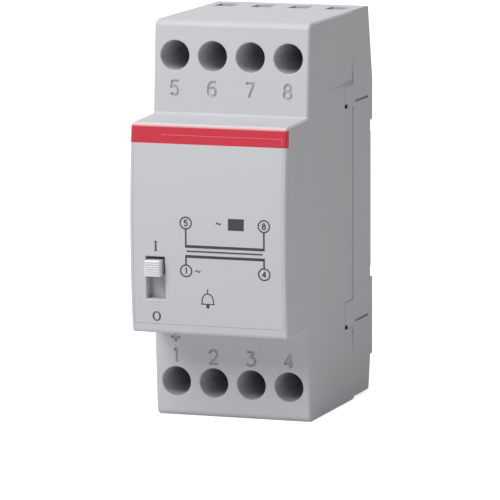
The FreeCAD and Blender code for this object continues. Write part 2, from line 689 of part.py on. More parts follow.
def clip_channel():
    """The stepped channel that holds the rail clip, open at the bottom end."""
    wide = block(
        centred(0, CLIP_FLANGE_WIDTH + 2 * CLIP_GAP),
        (-CHANNEL_FLOOR_DEPTH, -CLIP_FRONT_DEPTH + CLIP_FLANGE + CLIP_GAP),
        (BASE_BOTTOM - MARGIN, -HALF_RAIL),
    )
    narrow = block(
        centred(0, CLIP_WIDTH + 2 * CLIP_GAP),
        (-CLIP_FRONT_DEPTH, BACK_DEPTH + MARGIN),
        (BASE_BOTTOM - MARGIN, -HALF_RAIL),
    )
    return wide.fuse(narrow)


def rail_hooks():
    """The two fixed hooks that reach over the rail's upper lip."""
    hooks = []
    for side in (-1, 1):
        hook = block(
            centred(side * HOOK_SPACING / 2, HOOK_WIDTH),
            (HOOK_FRONT, HOOK_REAR),
            (HALF_RAIL - HOOK_REACH, HALF_RAIL - HOOK_REACH + HOOK_LENGTH),
        )
        outer_edges = edges_across(hook, [
            (HOOK_REAR, HALF_RAIL - HOOK_REACH),
            (HOOK_REAR, HALF_RAIL - HOOK_REACH + HOOK_LENGTH),
        ])
        hooks.append(hook.makeChamfer(HOOK_LEAD_IN, outer_edges))
    return hooks


def spring_peg():
    """The fixed peg in the clip channel that the spring pushes against."""
    return block(
        centred(0, CLIP_WINDOW_WIDTH - 2 * CLIP_GAP),
        (-CHANNEL_FLOOR_DEPTH - SHARED, -CLIP_FRONT_DEPTH + CLIP_PLATE),
        (PEG_TOP - SPRING_PEG_LENGTH, PEG_TOP),
    )


def core_rests():
    """Two cross ribs on the base's floor that the core's rear rests on."""
    return [
        block(
            (-HALF_STACK, HALF_STACK),
            (-CORE_REAR_DEPTH, -BASE_FLOOR + SHARED),
            centred(end * (CORE_HEIGHT / 2 - STRAP_HOOK - CORE_REST), CORE_REST),
        )
        for end in (-1, 1)
    ]


def snap_tongue(end, side):
    """A snap tongue: tapered inside towards its tip, with a hole cut behind one corner."""
    bottom, top = SNAP_RANGES[end]
    bottom += SNAP_SIDE_GAP
    tip_y = -SNAP_WINDOW_DEPTH + SNAP_TIP_GAP
    root_y = -SEAM_DEPTH + SHARED
    corners = [
        vector(side * HALF_WIDTH, tip_y, bottom),
        vector(side * HALF_WIDTH, root_y, bottom),
        vector(side * (INNER_HALF_WIDTH + SHARED), root_y, bottom),
        vector(side * (INNER_HALF_WIDTH + SHARED), tip_y + SNAP_TAPER, bottom),
        vector(side * (HALF_WIDTH - SNAP_TIP_THICKNESS), tip_y, bottom),
    ]
    outline = Part.makePolygon(corners + corners[:1])
    tongue = Part.Face(outline).extrude(vector(0, 0, top - SNAP_SIDE_GAP - bottom))
    hole_end = tip_y + SNAP_HOLE_LENGTH
    hole_corners = [
        vector(side * (HALF_WIDTH + SHARED), tip_y - SHARED, bottom - SHARED),
        vector(side * (HALF_WIDTH + SHARED), hole_end, bottom - SHARED),
        vector(side * HALF_WIDTH, hole_end, bottom - SHARED),
        vector(side * INNER_HALF_WIDTH, hole_end + SNAP_HOLE_UNDERCUT, bottom - SHARED),
        vector(side * INNER_HALF_WIDTH, tip_y - SHARED, bottom - SHARED),
    ]
    hole_outline = Part.makePolygon(hole_corners + hole_corners[:1])
    hole = Part.Face(hole_outline).extrude(vector(0, 0, SNAP_HOLE_HEIGHT + SHARED))
    return tongue.cut(hole)


def snap_panel(end, side):
    """The raised panel behind a snap tongue, bevelled along its top."""
    bottom, top = SNAP_RANGES[end]
    x_low = side * (BASE_HALF_WIDTH - SHARED)
    outline = [
        vector(x_low, -SEAM_DEPTH, bottom + SNAP_SIDE_GAP),
        vector(side * HALF_WIDTH, -SEAM_DEPTH, bottom + SNAP_SIDE_GAP),
        vector(side * HALF_WIDTH, -SEAM_DEPTH, top - SNAP_PANEL_BEVEL),
        vector(side * BASE_HALF_WIDTH, -SEAM_DEPTH, top),
        vector(x_low, -SEAM_DEPTH, top),
    ]
    profile = Part.Face(Part.makePolygon(outline + outline[:1]))
    return profile.extrude(vector(0, SEAM_DEPTH - SNAP_PANEL_START, 0))


def snap_groove(end, side):
    """The groove that parts a snap panel from the edge below it."""
    bottom = SNAP_RANGES[end][0] + SNAP_GROOVE_OFFSET
    return block(
        (side * (BASE_HALF_WIDTH - SNAP_GROOVE_DEPTH), side * (HALF_WIDTH + SHARED)),
        (-SEAM_DEPTH + SNAP_GROOVE_INSET, -SNAP_PANEL_START + SHARED),
        (bottom, bottom + SNAP_GROOVE),
    )


def rear_base():
    """The moulded rear half of the case, which sits on the rail."""
    base = base_blank().cut(base_hollow()).fuse(core_rests())
    hollows = [clip_channel()]
    panels = []
    for end in (-1, 1):
        hollows.append(base_terminal_rooms(end))
        hollows += [wire_entry(x, end) for x in TERMINAL_XS]
        for side in (-1, 1):
            panels += [snap_tongue(end, side), snap_panel(end, side)]
    for hollow in hollows:
        base = base.cut(hollow)
    keys = [tongue_key(x, end) for x, end in FITTED_TERMINALS.values()]
    base = base.fuse(panels + keys + rail_hooks() + [spring_peg()])
    for end in (-1, 1):
        for side in (-1, 1):
            base = base.cut(snap_groove(end, side))
    return base.removeSplitter()


def front_band():
    """The red strip along the nose's upper front edge."""
    return case_front_blank().common(band_area())


def switch_button():
    """The ribbed button with the plate that closes the slot behind it."""
    button = block(
        centred(SLOT_CENTRE_X, BUTTON_WIDTH),
        (-BUTTON_FRONT_DEPTH, -SLIDER_REAR_DEPTH),
        (BUTTON_BOTTOM, BUTTON_TOP),
    )
    front_edges = [edge for edge in button.Edges if edge.BoundBox.YMax < -NOSE_DEPTH]
    button = button.makeChamfer(BUTTON_EDGE, front_edges)
    pitch = BUTTON_HEIGHT / BUTTON_RIBS
    grooves = [
        block(
            centred(SLOT_CENTRE_X, BUTTON_WIDTH + 2 * SHARED),
            (-BUTTON_FRONT_DEPTH - SHARED, -BUTTON_FRONT_DEPTH + BUTTON_GROOVE_DEPTH),
            centred(BUTTON_BOTTOM + rib * pitch, BUTTON_GROOVE_WIDTH),
        )
        for rib in range(1, BUTTON_RIBS)
    ]
    plate = block(
        centred(SLOT_CENTRE_X, SLIDER_PLATE_WIDTH),
        (-SLIDER_FRONT_DEPTH, -SLIDER_REAR_DEPTH),
        (SLIDER_BOTTOM, SLIDER_TOP),
    )
    return button.cut(grooves).fuse(plate).removeSplitter()


def switch_bridge():
    """The bent strip behind the slider that joins the two fixed contacts."""
    rear_depth = SWITCH_FLOOR_DEPTH + CONTACT_THICKNESS + MOVING_CLEARANCE
    strip = block(
        centred(SLOT_CENTRE_X, BRIDGE_WIDTH),
        (-SLIDER_REAR_DEPTH, -rear_depth),
        (BRIDGE_TOP - BRIDGE_HEIGHT, BRIDGE_TOP),
    )
    inside = block(
        centred(SLOT_CENTRE_X, BRIDGE_WIDTH - 2 * CONTACT_WIDTH),
        (-SLIDER_REAR_DEPTH + BRIDGE_SHEET, -rear_depth + SHARED),
        (BRIDGE_TOP - BRIDGE_HEIGHT - SHARED, BRIDGE_TOP + SHARED),
    )
    return strip.cut(inside)


def contact_tag(x, z, width):
    """The solder tag that leads a contact out through the switch body's floor."""
    return block(
        centred(x, width),
        (-SWITCH_FLOOR_DEPTH, -CONTACT_TAG_END_DEPTH),
        centred(z, CONTACT_TAG_HEIGHT),
    )


def switch_body():
    """The open box behind the slider that carries the fixed contacts."""
    body = block(
        centred(SLOT_CENTRE_X, 2 * SWITCH_HALF_WIDTH),
        (-SWITCH_FRONT_DEPTH, -SWITCH_REAR_DEPTH),
        (SWITCH_BOTTOM, SWITCH_TOP),
    )
    hollow = block(
        centred(SLOT_CENTRE_X, 2 * (SWITCH_HALF_WIDTH - SWITCH_BODY_WALL)),
        (-SWITCH_FRONT_DEPTH - SHARED, -SWITCH_FLOOR_DEPTH),
        (SWITCH_BOTTOM + SWITCH_BODY_WALL, SWITCH_TOP - SWITCH_BODY_WALL),
    )
    tags = [contact_tag(x, z, CONTACT_WIDTH) for x, z in zip(CONTACT_XS, CONTACT_TAG_ZS)]
    return body.cut([hollow] + tags)


def switch_contacts():
    """The long and the short fixed contact strip, each with its solder tag."""
    strips = []
    for x, z, length in zip(CONTACT_XS, CONTACT_TAG_ZS, CONTACT_LENGTHS):
        strip = block(
            centred(x, CONTACT_WIDTH),
            (-SWITCH_FLOOR_DEPTH - CONTACT_THICKNESS, -SWITCH_FLOOR_DEPTH),
            (CONTACT_TOP - length, CONTACT_TOP),
        )
        strips.append(strip.fuse(contact_tag(x, z, CONTACT_WIDTH)).removeSplitter())
    return Part.makeCompound(strips)


def terminal_tongue(x, end):
    """The fixed bar that a wire is clamped against, with its tag inside the case."""
    return block(
        centred(x, TONGUE_WIDTH),
        (-TONGUE_FRONT_DEPTH, -TONGUE_REAR_DEPTH),
        (end * (INNER_WALL_HEIGHT - TONGUE_TAG),
         end * (TERMINAL_HEIGHT + CAGE_HEIGHT / 2 + TONGUE_PAST_CAGE)),
    )


def clamp_cage(x, end):
    """The square ring that the screw draws forward to clamp the wire."""
    z = end * TERMINAL_HEIGHT
    z_range = centred(z, CAGE_HEIGHT)
    ring = block(
        centred(x, CAGE_WIDTH),
        (-CAGE_FRONT_DEPTH, -CAGE_REAR_BAR_DEPTH + CAGE_BAR),
        z_range,
    )
    upright = [
        edge for edge in ring.Edges
        if edge.BoundBox.ZLength > 1 and edge.BoundBox.XLength + edge.BoundBox.YLength < 1
    ]
    ring = ring.makeChamfer(CAGE_CORNER, upright)
    window = block(
        centred(x, CAGE_WIDTH - 2 * CAGE_SIDE),
        (-CAGE_NUT_REAR_DEPTH, -CAGE_REAR_BAR_DEPTH),
        (z_range[0] - SHARED, z_range[1] + SHARED),
    )
    thread = rod(SCREW_RADIUS + SCREW_CLEARANCE, x, z, CAGE_FRONT_DEPTH + SHARED, CAGE_NUT_REAR_DEPTH)
    return ring.cut([window, thread])


def terminal_screw(x, end):
    """The slotted clamp screw, which turns between the lip and the tongue."""
    z = end * TERMINAL_HEIGHT
    head = rod(SCREW_HEAD_RADIUS, x, z, SCREW_HEAD_FRONT_DEPTH, SCREW_HEAD_REAR_DEPTH)
    shank = rod(SCREW_RADIUS, x, z, SCREW_HEAD_REAR_DEPTH, SCREW_TIP_DEPTH)
    slot = block(
        centred(x, SCREW_SLOT_WIDTH),
        (-SCREW_HEAD_FRONT_DEPTH - SHARED, -SCREW_HEAD_FRONT_DEPTH + SCREW_SLOT_DEPTH),
        centred(z, 2 * SCREW_HEAD_RADIUS + SHARED),
    )
    return head.fuse(shank).cut(slot).removeSplitter()


def core_e_stack():
    """The stack of E sheets: a back, two outer limbs and the middle limb."""
    back = block(
        centred(0, STACK_THICKNESS),
        (-CORE_FRONT_DEPTH, -E_REAR_DEPTH),
        centred(0, CORE_HEIGHT),
    )
    windows = [
        block(
            centred(0, STACK_THICKNESS + MARGIN),
            (-WINDOW_FRONT_DEPTH, -E_REAR_DEPTH + MARGIN),
            (end * SHEET_LIMB, end * 2 * SHEET_LIMB),
        )
        for end in (-1, 1)
    ]
    return back.cut(windows)


def core_i_stack():
    """The stack of I sheets that closes the E sheets at the rear."""
    return block(
        centred(0, STACK_THICKNESS),
        (-E_REAR_DEPTH, -CORE_REAR_DEPTH),
        centred(0, CORE_HEIGHT),
    )


def core_strap():
    """The steel strap round the core, with its ends folded behind the I sheets."""
    outer = block(
        centred(0, STRAP_WIDTH),
        (-CORE_FRONT_DEPTH - STRAP_THICKNESS, -CORE_REAR_DEPTH + STRAP_THICKNESS),
        centred(0, CORE_HEIGHT + 2 * STRAP_THICKNESS),
    )
    core = block(
        centred(0, STRAP_WIDTH + MARGIN),
        (-CORE_FRONT_DEPTH, -CORE_REAR_DEPTH),
        centred(0, CORE_HEIGHT),
    )
    opening = block(
        centred(0, STRAP_WIDTH + MARGIN),
        (-CORE_REAR_DEPTH - SHARED, -CORE_REAR_DEPTH + MARGIN),
        centred(0, CORE_HEIGHT - 2 * STRAP_HOOK),
    )
    return outer.cut([core, opening])


def coil_ring(inner, outer, span, corner):
    """A rectangular ring round the middle limb, between two depths, with rounded corners."""
    y_range = (-span[0], -span[1])
    ring = block((-outer[0], outer[0]), y_range, (-outer[1], outer[1]))
    if corner:
        along = [
            edge for edge in ring.Edges
            if edge.BoundBox.YLength > SHARED and edge.BoundBox.XLength + edge.BoundBox.ZLength < SHARED
        ]
        ring = ring.makeFillet(corner, along)
    return ring.cut(inner)


def coil_core(half_width, half_height, corner):
    """The rounded bar that a coil ring goes round."""
    bar = block(
        (-half_width, half_width),
        (-BOBBIN_FRONT_DEPTH - SHARED, -BOBBIN_REAR_DEPTH + SHARED),
        (-half_height, half_height),
    )
    if not corner:
        return bar
    along = [edge for edge in bar.Edges if edge.BoundBox.YLength > 1]
    along = [edge for edge in along if edge.BoundBox.XLength + edge.BoundBox.ZLength < 1]
    return bar.makeFillet(corner, along)


def bobbin():
    """The two-chamber coil former with its three flanges."""
    hole = coil_core(HALF_STACK + BOBBIN_CORE_GAP, SHEET_LIMB + BOBBIN_CORE_GAP, 0)
    span = (BOBBIN_FRONT_DEPTH, BOBBIN_REAR_DEPTH)
    tube = coil_ring(hole, (BOBBIN_TUBE_HALF_WIDTH, BOBBIN_TUBE_HALF_HEIGHT), span, 0)
    flanges = []
    for front in (BOBBIN_FRONT_DEPTH, MIDDLE_FLANGE_FRONT_DEPTH, BOBBIN_REAR_DEPTH + BOBBIN_FLANGE):
        span = (front, front - BOBBIN_FLANGE)
        flanges.append(coil_ring(hole, (BOBBIN_HALF_WIDTH, BOBBIN_HALF_HEIGHT), span, 0))
    return tube.fuse(flanges).removeSplitter()


def winding(span):
    """One winding, wound full between two flanges."""
    tube = coil_core(BOBBIN_TUBE_HALF_WIDTH, BOBBIN_TUBE_HALF_HEIGHT, 0)
    return coil_ring(tube, (WINDING_HALF_WIDTH, WINDING_HALF_HEIGHT), span, WINDING_CORNER)


def winding_tape(span):
    """The insulating tape round one winding."""
    inside = coil_core(WINDING_HALF_WIDTH, WINDING_HALF_HEIGHT, WINDING_CORNER)
    outer = (WINDING_HALF_WIDTH + TAPE_THICKNESS, WINDING_HALF_HEIGHT + TAPE_THICKNESS)
    return coil_ring(inside, outer, span, WINDING_CORNER + TAPE_THICKNESS)


def thermal_cutout():
    """The flat cutout that lies on the primary winding beside the core."""
    bottom = WINDING_HALF_HEIGHT + TAPE_THICKNESS
    return block(
        centred(COIL_SIDE_X, CUTOUT_WIDTH),
        centred(-(PRIMARY_SPAN[0] + PRIMARY_SPAN[1]) / 2, CUTOUT_LENGTH),
        (bottom, bottom + CUTOUT_HEIGHT),
    )


def wire_section(radius, centre, across, along):
    """The six-sided section of a thin wire that starts along a direction."""
    upward = across.cross(along)
    upward.normalize()
    corners = []
    for step in range(6):
        angle = math.pi * step / 3
        corners.append(centre + across * (radius * math.cos(angle)) + upward * (radius * math.sin(angle)))
    return Part.makePolygon(corners + corners[:1])


def lead(points):
    """An insulated lead along straight runs joined by arcs as large as the runs allow."""
    places = [vector(*point) for point in points]
    edges = []
    start = places[0]
    for before, corner, after in zip(places, places[1:], places[2:]):
        into = before - corner
        onward = after - corner
        reach = 0.45 * min(into.Length, onward.Length)
        into.normalize()
        onward.normalize()
        arc_start = corner + into * reach
        arc_end = corner + onward * reach
        half_turn = (math.pi - into.getAngle(onward)) / 2
        radius = reach / math.tan(half_turn)
        bisector = into + onward
        bisector.normalize()
        arc_middle = corner + bisector * (radius / math.cos(half_turn) - radius)
        edges.append(Part.LineSegment(start, arc_start).toShape())
        edges.append(Part.Arc(arc_start, arc_middle, arc_end).toShape())
        start = arc_end
    edges.append(Part.LineSegment(start, places[-1]).toShape())
    section = wire_section(LEAD_RADIUS, places[0], vector(1, 0, 0), places[1] - places[0])
    return Part.Wire(edges).makePipeShell([section], True, False)


def tag_end(name):
    """The middle of a tongue's inner end, where its lead is joined."""
    x, end = FITTED_TERMINALS[name]
    y = -(TONGUE_FRONT_DEPTH + TONGUE_REAR_DEPTH) / 2
    return x, y, end * (INNER_WALL_HEIGHT - TONGUE_TAG)


def coil_lead(name, span):
    """A lead from a winding's outer face to the tongue of one terminal."""
    x, end = FITTED_TERMINALS[name]
    side = math.copysign(1, x)
    tag_x, tag_y, tag_z = tag_end(name)
    coil_y = -(span[0] + span[1]) / 2
    coil_z = end * (WINDING_HALF_HEIGHT + TAPE_THICKNESS)
    return lead([
        (side * COIL_SIDE_X, coil_y, coil_z),
        (side * COIL_SIDE_X, coil_y, coil_z + end * 2 * LEAD_RUN_OUT),
        (tag_x, tag_y, tag_z - end * LEAD_RUN_OUT),
        (tag_x, tag_y, tag_z),
    ])


def lead_to_switch():
    """The lead from terminal 1 past the coil to the long contact."""
    tag_x, tag_y, tag_z = tag_end("1")
    contact_y = -CONTACT_TAG_END_DEPTH
    coil_low = -BOBBIN_HALF_HEIGHT - LEAD_RUN_OUT
    return lead([
        (tag_x, tag_y, tag_z),
        (tag_x, tag_y, tag_z + LEAD_RUN_OUT),
        (tag_x, -WINDOW_FRONT_DEPTH, coil_low - LEAD_RUN_OUT / 2),
        (CONTACT_XS[0], contact_y + LEAD_RUN_OUT, CONTACT_TAG_ZS[0]),
        (CONTACT_XS[0], contact_y, CONTACT_TAG_ZS[0]),
    ])


def lead_to_cutout():
    """The lead from the short contact across the core's front to the cutout."""
    contact_y = -CONTACT_TAG_END_DEPTH
    cutout_z = WINDING_HALF_HEIGHT + TAPE_THICKNESS + CUTOUT_HEIGHT / 2
    cutout_y = -(PRIMARY_SPAN[0] + PRIMARY_SPAN[1]) / 2 - CUTOUT_LENGTH / 2
    front_y = -CORE_FRONT_DEPTH - LEAD_RUN_OUT
    return lead([
        (CONTACT_XS[1], contact_y, CONTACT_TAG_ZS[1]),
        (CONTACT_XS[1], contact_y + LEAD_RUN_OUT / 2, CONTACT_TAG_ZS[1]),
        (COIL_SIDE_X, front_y, cutout_z),
        (COIL_SIDE_X, cutout_y, cutout_z),
    ])


def rail_clip():
    """The sprung latch: flanged plate, jaw for the rail's lower lip and pull slot."""
    plate_rear = -CLIP_FRONT_DEPTH + CLIP_PLATE
    flange = block(
        centred(0, CLIP_FLANGE_WIDTH),
        (-CLIP_FRONT_DEPTH, -CLIP_FRONT_DEPTH + CLIP_FLANGE),
        (CLIP_BOTTOM, CLIP_NECK_TOP),
    )
    plate = block(
        centred(0, CLIP_WIDTH),
        (-CLIP_FRONT_DEPTH, plate_rear),
        (CLIP_BOTTOM, CLIP_NECK_TOP),
    )
    neck = block(
        centred(0, CLIP_WIDTH),
        (plate_rear - SHARED, HOOK_REAR),
        (CLIP_NECK_TOP - CLIP_NECK_HEIGHT, CLIP_NECK_TOP),
    )
    jaw = block(
        centred(0, CLIP_WIDTH),
        (HOOK_FRONT, HOOK_REAR),
        (CLIP_NECK_TOP - SHARED, JAW_TOP),
    )
    body = flange.fuse([plate, neck, jaw]).removeSplitter()
    lead_in = edges_across(body, [(HOOK_REAR, JAW_TOP), (HOOK_REAR, CLIP_NECK_TOP - CLIP_NECK_HEIGHT)])
    body = body.makeChamfer(HOOK_LEAD_IN, lead_in)
    window = block(
        centred(0, CLIP_WINDOW_WIDTH),
        (-CLIP_FRONT_DEPTH - SHARED, plate_rear + SHARED),
        (CLIP_WINDOW_BOTTOM, CLIP_WINDOW_TOP),
    )
    slot = block(
        centred(0, CLIP_SLOT_WIDTH),
        (-CLIP_FRONT_DEPTH - SHARED, plate_rear + SHARED),
        (CLIP_BOTTOM + CLIP_SLOT_EDGE, CLIP_SLOT_TOP),
    )
    return body.cut([window, slot])


def clip_spring():
    """The coil spring between the peg in the channel and the clip's window."""
    bottom = SPRING_BOTTOM + SPRING_WIRE_RADIUS
    height = SPRING_TOP - SPRING_WIRE_RADIUS - bottom
    helix = Part.makeHelix(height / SPRING_TURNS, height, SPRING_RADIUS)
    section = wire_section(SPRING_WIRE_RADIUS, vector(SPRING_RADIUS, 0, 0), vector(1, 0, 0), vector(0, 1, 0))
    coil = Part.Wire(helix).makePipeShell([section], True, True)
    return coil.translated(vector(0, -SPRING_DEPTH, bottom))


def save(name, shape):
    """Writes one piece of the transformer."""
    shape.exportStep(os.path.join("parts", name + ".step"))


def main():
    """Builds every piece."""
    os.makedirs("parts", exist_ok=True)
    save("front_shell", front_shell())
    save("rear_base", rear_base())
    save("front_band", front_band())
    save("front_label", film_blank(0))
    save("switch_button", switch_button())
    save("switch_bridge", switch_bridge())
    save("switch_body", switch_body())
    save("switch_contacts", switch_contacts())
    save("core_e_stack", core_e_stack())
    save("core_i_stack", core_i_stack())
    save("core_strap", core_strap())
    save("bobbin", bobbin())
    save("primary_winding", winding(PRIMARY_SPAN))
    save("secondary_winding", winding(SECONDARY_SPAN))
    save("primary_tape", winding_tape(PRIMARY_SPAN))
    save("secondary_tape", winding_tape(SECONDARY_SPAN))
    save("thermal_cutout", thermal_cutout())
    for name, (x, end) in FITTED_TERMINALS.items():
        save("terminal_tongue_" + name, terminal_tongue(x, end))
        save("clamp_cage_" + name, clamp_cage(x, end))
        save("terminal_screw_" + name, terminal_screw(x, end))
    save("lead_1_to_switch", lead_to_switch())
    save("lead_switch_to_cutout", lead_to_cutout())
    save("lead_coil_to_4", coil_lead("4", PRIMARY_SPAN))
    save("lead_coil_to_5", coil_lead("5", SECONDARY_SPAN))
    save("lead_coil_to_8", coil_lead("8", SECONDARY_SPAN))
    save("rail_clip", rail_clip())
    save("clip_spring", clip_spring())


main()
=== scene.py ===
import math
import bmesh
import bpy
from mathutils import Matrix, Vector


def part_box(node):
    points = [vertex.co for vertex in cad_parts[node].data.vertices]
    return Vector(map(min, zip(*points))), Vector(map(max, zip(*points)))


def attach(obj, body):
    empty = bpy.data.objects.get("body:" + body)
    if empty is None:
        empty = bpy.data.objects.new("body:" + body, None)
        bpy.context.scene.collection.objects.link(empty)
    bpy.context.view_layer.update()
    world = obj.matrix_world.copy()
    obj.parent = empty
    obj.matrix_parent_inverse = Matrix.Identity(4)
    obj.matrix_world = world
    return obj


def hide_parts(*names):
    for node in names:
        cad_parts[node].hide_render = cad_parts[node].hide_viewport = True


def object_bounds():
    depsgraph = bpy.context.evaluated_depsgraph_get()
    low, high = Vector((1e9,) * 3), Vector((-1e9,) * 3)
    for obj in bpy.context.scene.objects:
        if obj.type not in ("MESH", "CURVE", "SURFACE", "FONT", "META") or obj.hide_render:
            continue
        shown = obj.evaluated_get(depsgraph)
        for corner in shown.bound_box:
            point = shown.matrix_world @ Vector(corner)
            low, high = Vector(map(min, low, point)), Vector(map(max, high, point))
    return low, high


# A bell transformer for a 35 mm rail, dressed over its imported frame.
# Places are in millimetres in the object's own frame: x across, y from the
# front (negative) to the rail, z up. Meshes are made in metres.
MM = 0.001

# The nose's bowed front and drafted ends, and the two sloping shoulders
NOSE_CORNER_Y = -58.0
NOSE_BOW = 1.2
HALF_NOSE = 22.5
NOSE_DRAFT = 0.45
NOSE_FACE_REACH = 0.45
SHOULDER_FOOT_Y = -44.2
SHOULDER_FALL = 1.3
HALF_HEIGHT = 43.0
HALF_WIDTH = 17.5
TERMINAL_PITCH = 8.54
TERMINAL_XS = [(index - 1.5) * TERMINAL_PITCH for index in range(4)]

# Corners nearer than this are joined, on solids and on print
WELD = 0.0005
PRINT_WELD = 0.001

# An edge is sharp above the first angle, faces within the second are one, and
# large faces lead small ones by the weight
SHARP_ANGLE = 30
FLAT_ANGLE = 0.3
FACE_WEIGHT = 80

# The cosine at which a stroke's turn stops growing wider
LEAST_COSINE = 0.5

# The gap at the seam between the shell and the base, on both sides
SEAM_Y = -12.4
SEAM_WIDTH = 0.28
SEAM_DEPTH = 0.6

# Numbers moulded into the shoulders
NUMBER_HEIGHT = 3.0
NUMBER_DEPTH = 0.5
NUMBER_GROOVE = 0.64
NUMBER_FLOOR = 0.19
NUMBER_SHIFT = 0.1
STROKE_DROP = 0.01
ARC_STEPS = 16
LOOP_STEPS = 28
UPPER_NUMBER_Z = 28.4
LOWER_NUMBER_Z = -29.6
PLUS_SIZE = 2.2
PLUS_PLACE = (-12.75, -25.6)

# The screwdriver holes and their bevelled rims
HOLE_Z = 35.4
HOLE_RADIUS = 3.25
HOLE_RIM = 0.16
HOLE_STEPS = 64

# The switch slot with its lip, and the ribs across the button's front
SLOT_MIDDLE = (-11.8, -10.5)
SLOT_SIZE = (4.3, 9.2)
SLOT_LIP = 0.28
SLOT_LIP_DEPTH = 0.19
SLOT_LIP_STEPS = 12
SLOT_LIP_STAND = 1.0
SLOT_INSET = 0.03
BUTTON_X = SLOT_MIDDLE[0]
BUTTON_WIDTH = 3.4
BUTTON_TOP = -6.55
BUTTON_HEIGHT = 3.4
BUTTON_RIBS = 7
BUTTON_GROOVE = 0.34
BUTTON_GROOVE_DEPTH = 0.42

# Where the band's red turns into its pale rounded top edge, partly the case's own grey and partly a
# painted highlight, and where the button's bright front turns into painted shade on its flanks and on the
# plate behind it
BAND_HIGHLIGHT_Z = (21.7, 22.45)
BUTTON_SHADE_Y = (-60.4, -58.9)

# Print on the film: the transformer's symbol and the rating box
PRINT_LIFT = 0.02
THIN_LINE = 0.32
RISER_LINE = 0.36
THICK_LINE = 0.6
CIRCLE_RADIUS = 1.25
CIRCLE_LINE = 0.29
CIRCLE_STEPS = 40
CIRCLE_NUMBER_HEIGHT = 1.2
CIRCLE_NUMBER_LINE = 0.27
LEFT_CIRCLE_X = -4.83
RIGHT_CIRCLE_X = 12.68
UPPER_CIRCLE_Z = 1.61
LOWER_CIRCLE_Z = -8.66
SECONDARY_LINE_Z = -3.38
CORE_LINE_Z = -4.41
CORE_LINE_INSETS = (0.15, 0.3)
PRIMARY_LINE_Z = -5.53
RATING_BOX = ((4.65, 8.21), (0.42, 2.93))

# The bell below it, from the top of its stem
BELL_PLACE = (-0.12, -12.44)
BELL_LINE = 0.24
BELL_STEM = 1.0
BELL_HEIGHT = 3.25
BELL_HALF_RIM = 1.4
BELL_FLARE = (0.12, 0.45)
BELL_DOME_RISE = 0.75
BELL_DOME_RADII = (1.25, 1.5)
BELL_DOME_STEPS = 18
CLAPPER_DROP = 0.5
CLAPPER_RADII = (0.4, 0.42)
CLAPPER_STEPS = 20
CLAPPER_NECK = (0.2, 0.4)

# The switch's marks: a stroke with two feet, and a ring
STROKE_X = -11.64
STROKE_ENDS_Z = (-4.6, -2.65)
STROKE_HALF_LINE = 0.19
STROKE_FOOT = (0.37, 0.09)
RING_PLACE = (-11.78, -18.82)
RING_OUTER_RADII = (0.95, 1.05)
RING_INNER_RADII = (0.58, 0.82)
RING_STEPS = 36

# The wave signs for alternating current, with their start and turn in half turns
WAVE_PLACES = ((2.5, 1.75), (-2.2, -8.65))
WAVE_LINE = 0.22
WAVE_REACH = (0.58, 0.2)
WAVE_PHASE = (0.2, 2.6)
WAVE_STEPS = 18

# A painted highlight: the pale line where light catches the clear cover's edge on the red band
BAND_LINE_X = (-10.6, 16.5)
BAND_LINE_Z = (18.9, 20.15)
BAND_LINE_HALF = 0.07
BAND_LINE_LIFT = 0.01

# Photograph's camera
CAMERA_AZIMUTH = 19.163
CAMERA_ELEVATION = 8.506
CAMERA_ROLL = -0.185
CAMERA_DISTANCE = 1096.5
CAMERA_AIM = (8.37, -55.73, -4.05)
CAMERA_LENS = 372.86
CAMERA_SENSOR = 36.0
CAMERA_CLIP = (0.05, 20.0)

# The studio, in metres: the floor's glow goes from the first level to the
# second between the two distances, and a lamp has a place, a size and a power
PAPER_WHITE = (1.0, 1.0, 1.0, 1.0)
FLOOR_TONES = ((0.8, 0.8, 0.8, 1), (0.82, 0.82, 0.82, 1))
FLOOR_SPECKLE = 40.0
FLOOR_REACH = 4.0
GLOW_DISTANCES = (0.05, 0.5)
GLOW_LEVELS = (0.78, 1.0)
WORLD_LEVEL = 0.23
LAMPS = {
    "key": ((-0.35, -0.75, 0.62), 0.45, 5.45),
    "top": ((-0.1, -0.2, 1.0), 0.6, 3.2),
    "fill": ((1.1, -0.05, 0.1), 0.6, 0.36),
}

# Moulded plastic: the scales of its mottling and its grain, the grain's
# strength, and how far its roughness varies
MOTTLE_SCALE = 90.0
GRAIN_SCALE = 5200.0
GRAIN_STRENGTH = 0.35
GLOSS_SPREAD = 0.05


def linear(red, green, blue):
    """A colour given as it looks on a screen, from 0 to 255, in linear light."""
    def channel(value):
        value = value / 255
        return value / 12.92 if value <= 0.04045 else ((value + 0.055) / 1.055) ** 2.4
    return (channel(red), channel(green), channel(blue), 1.0)


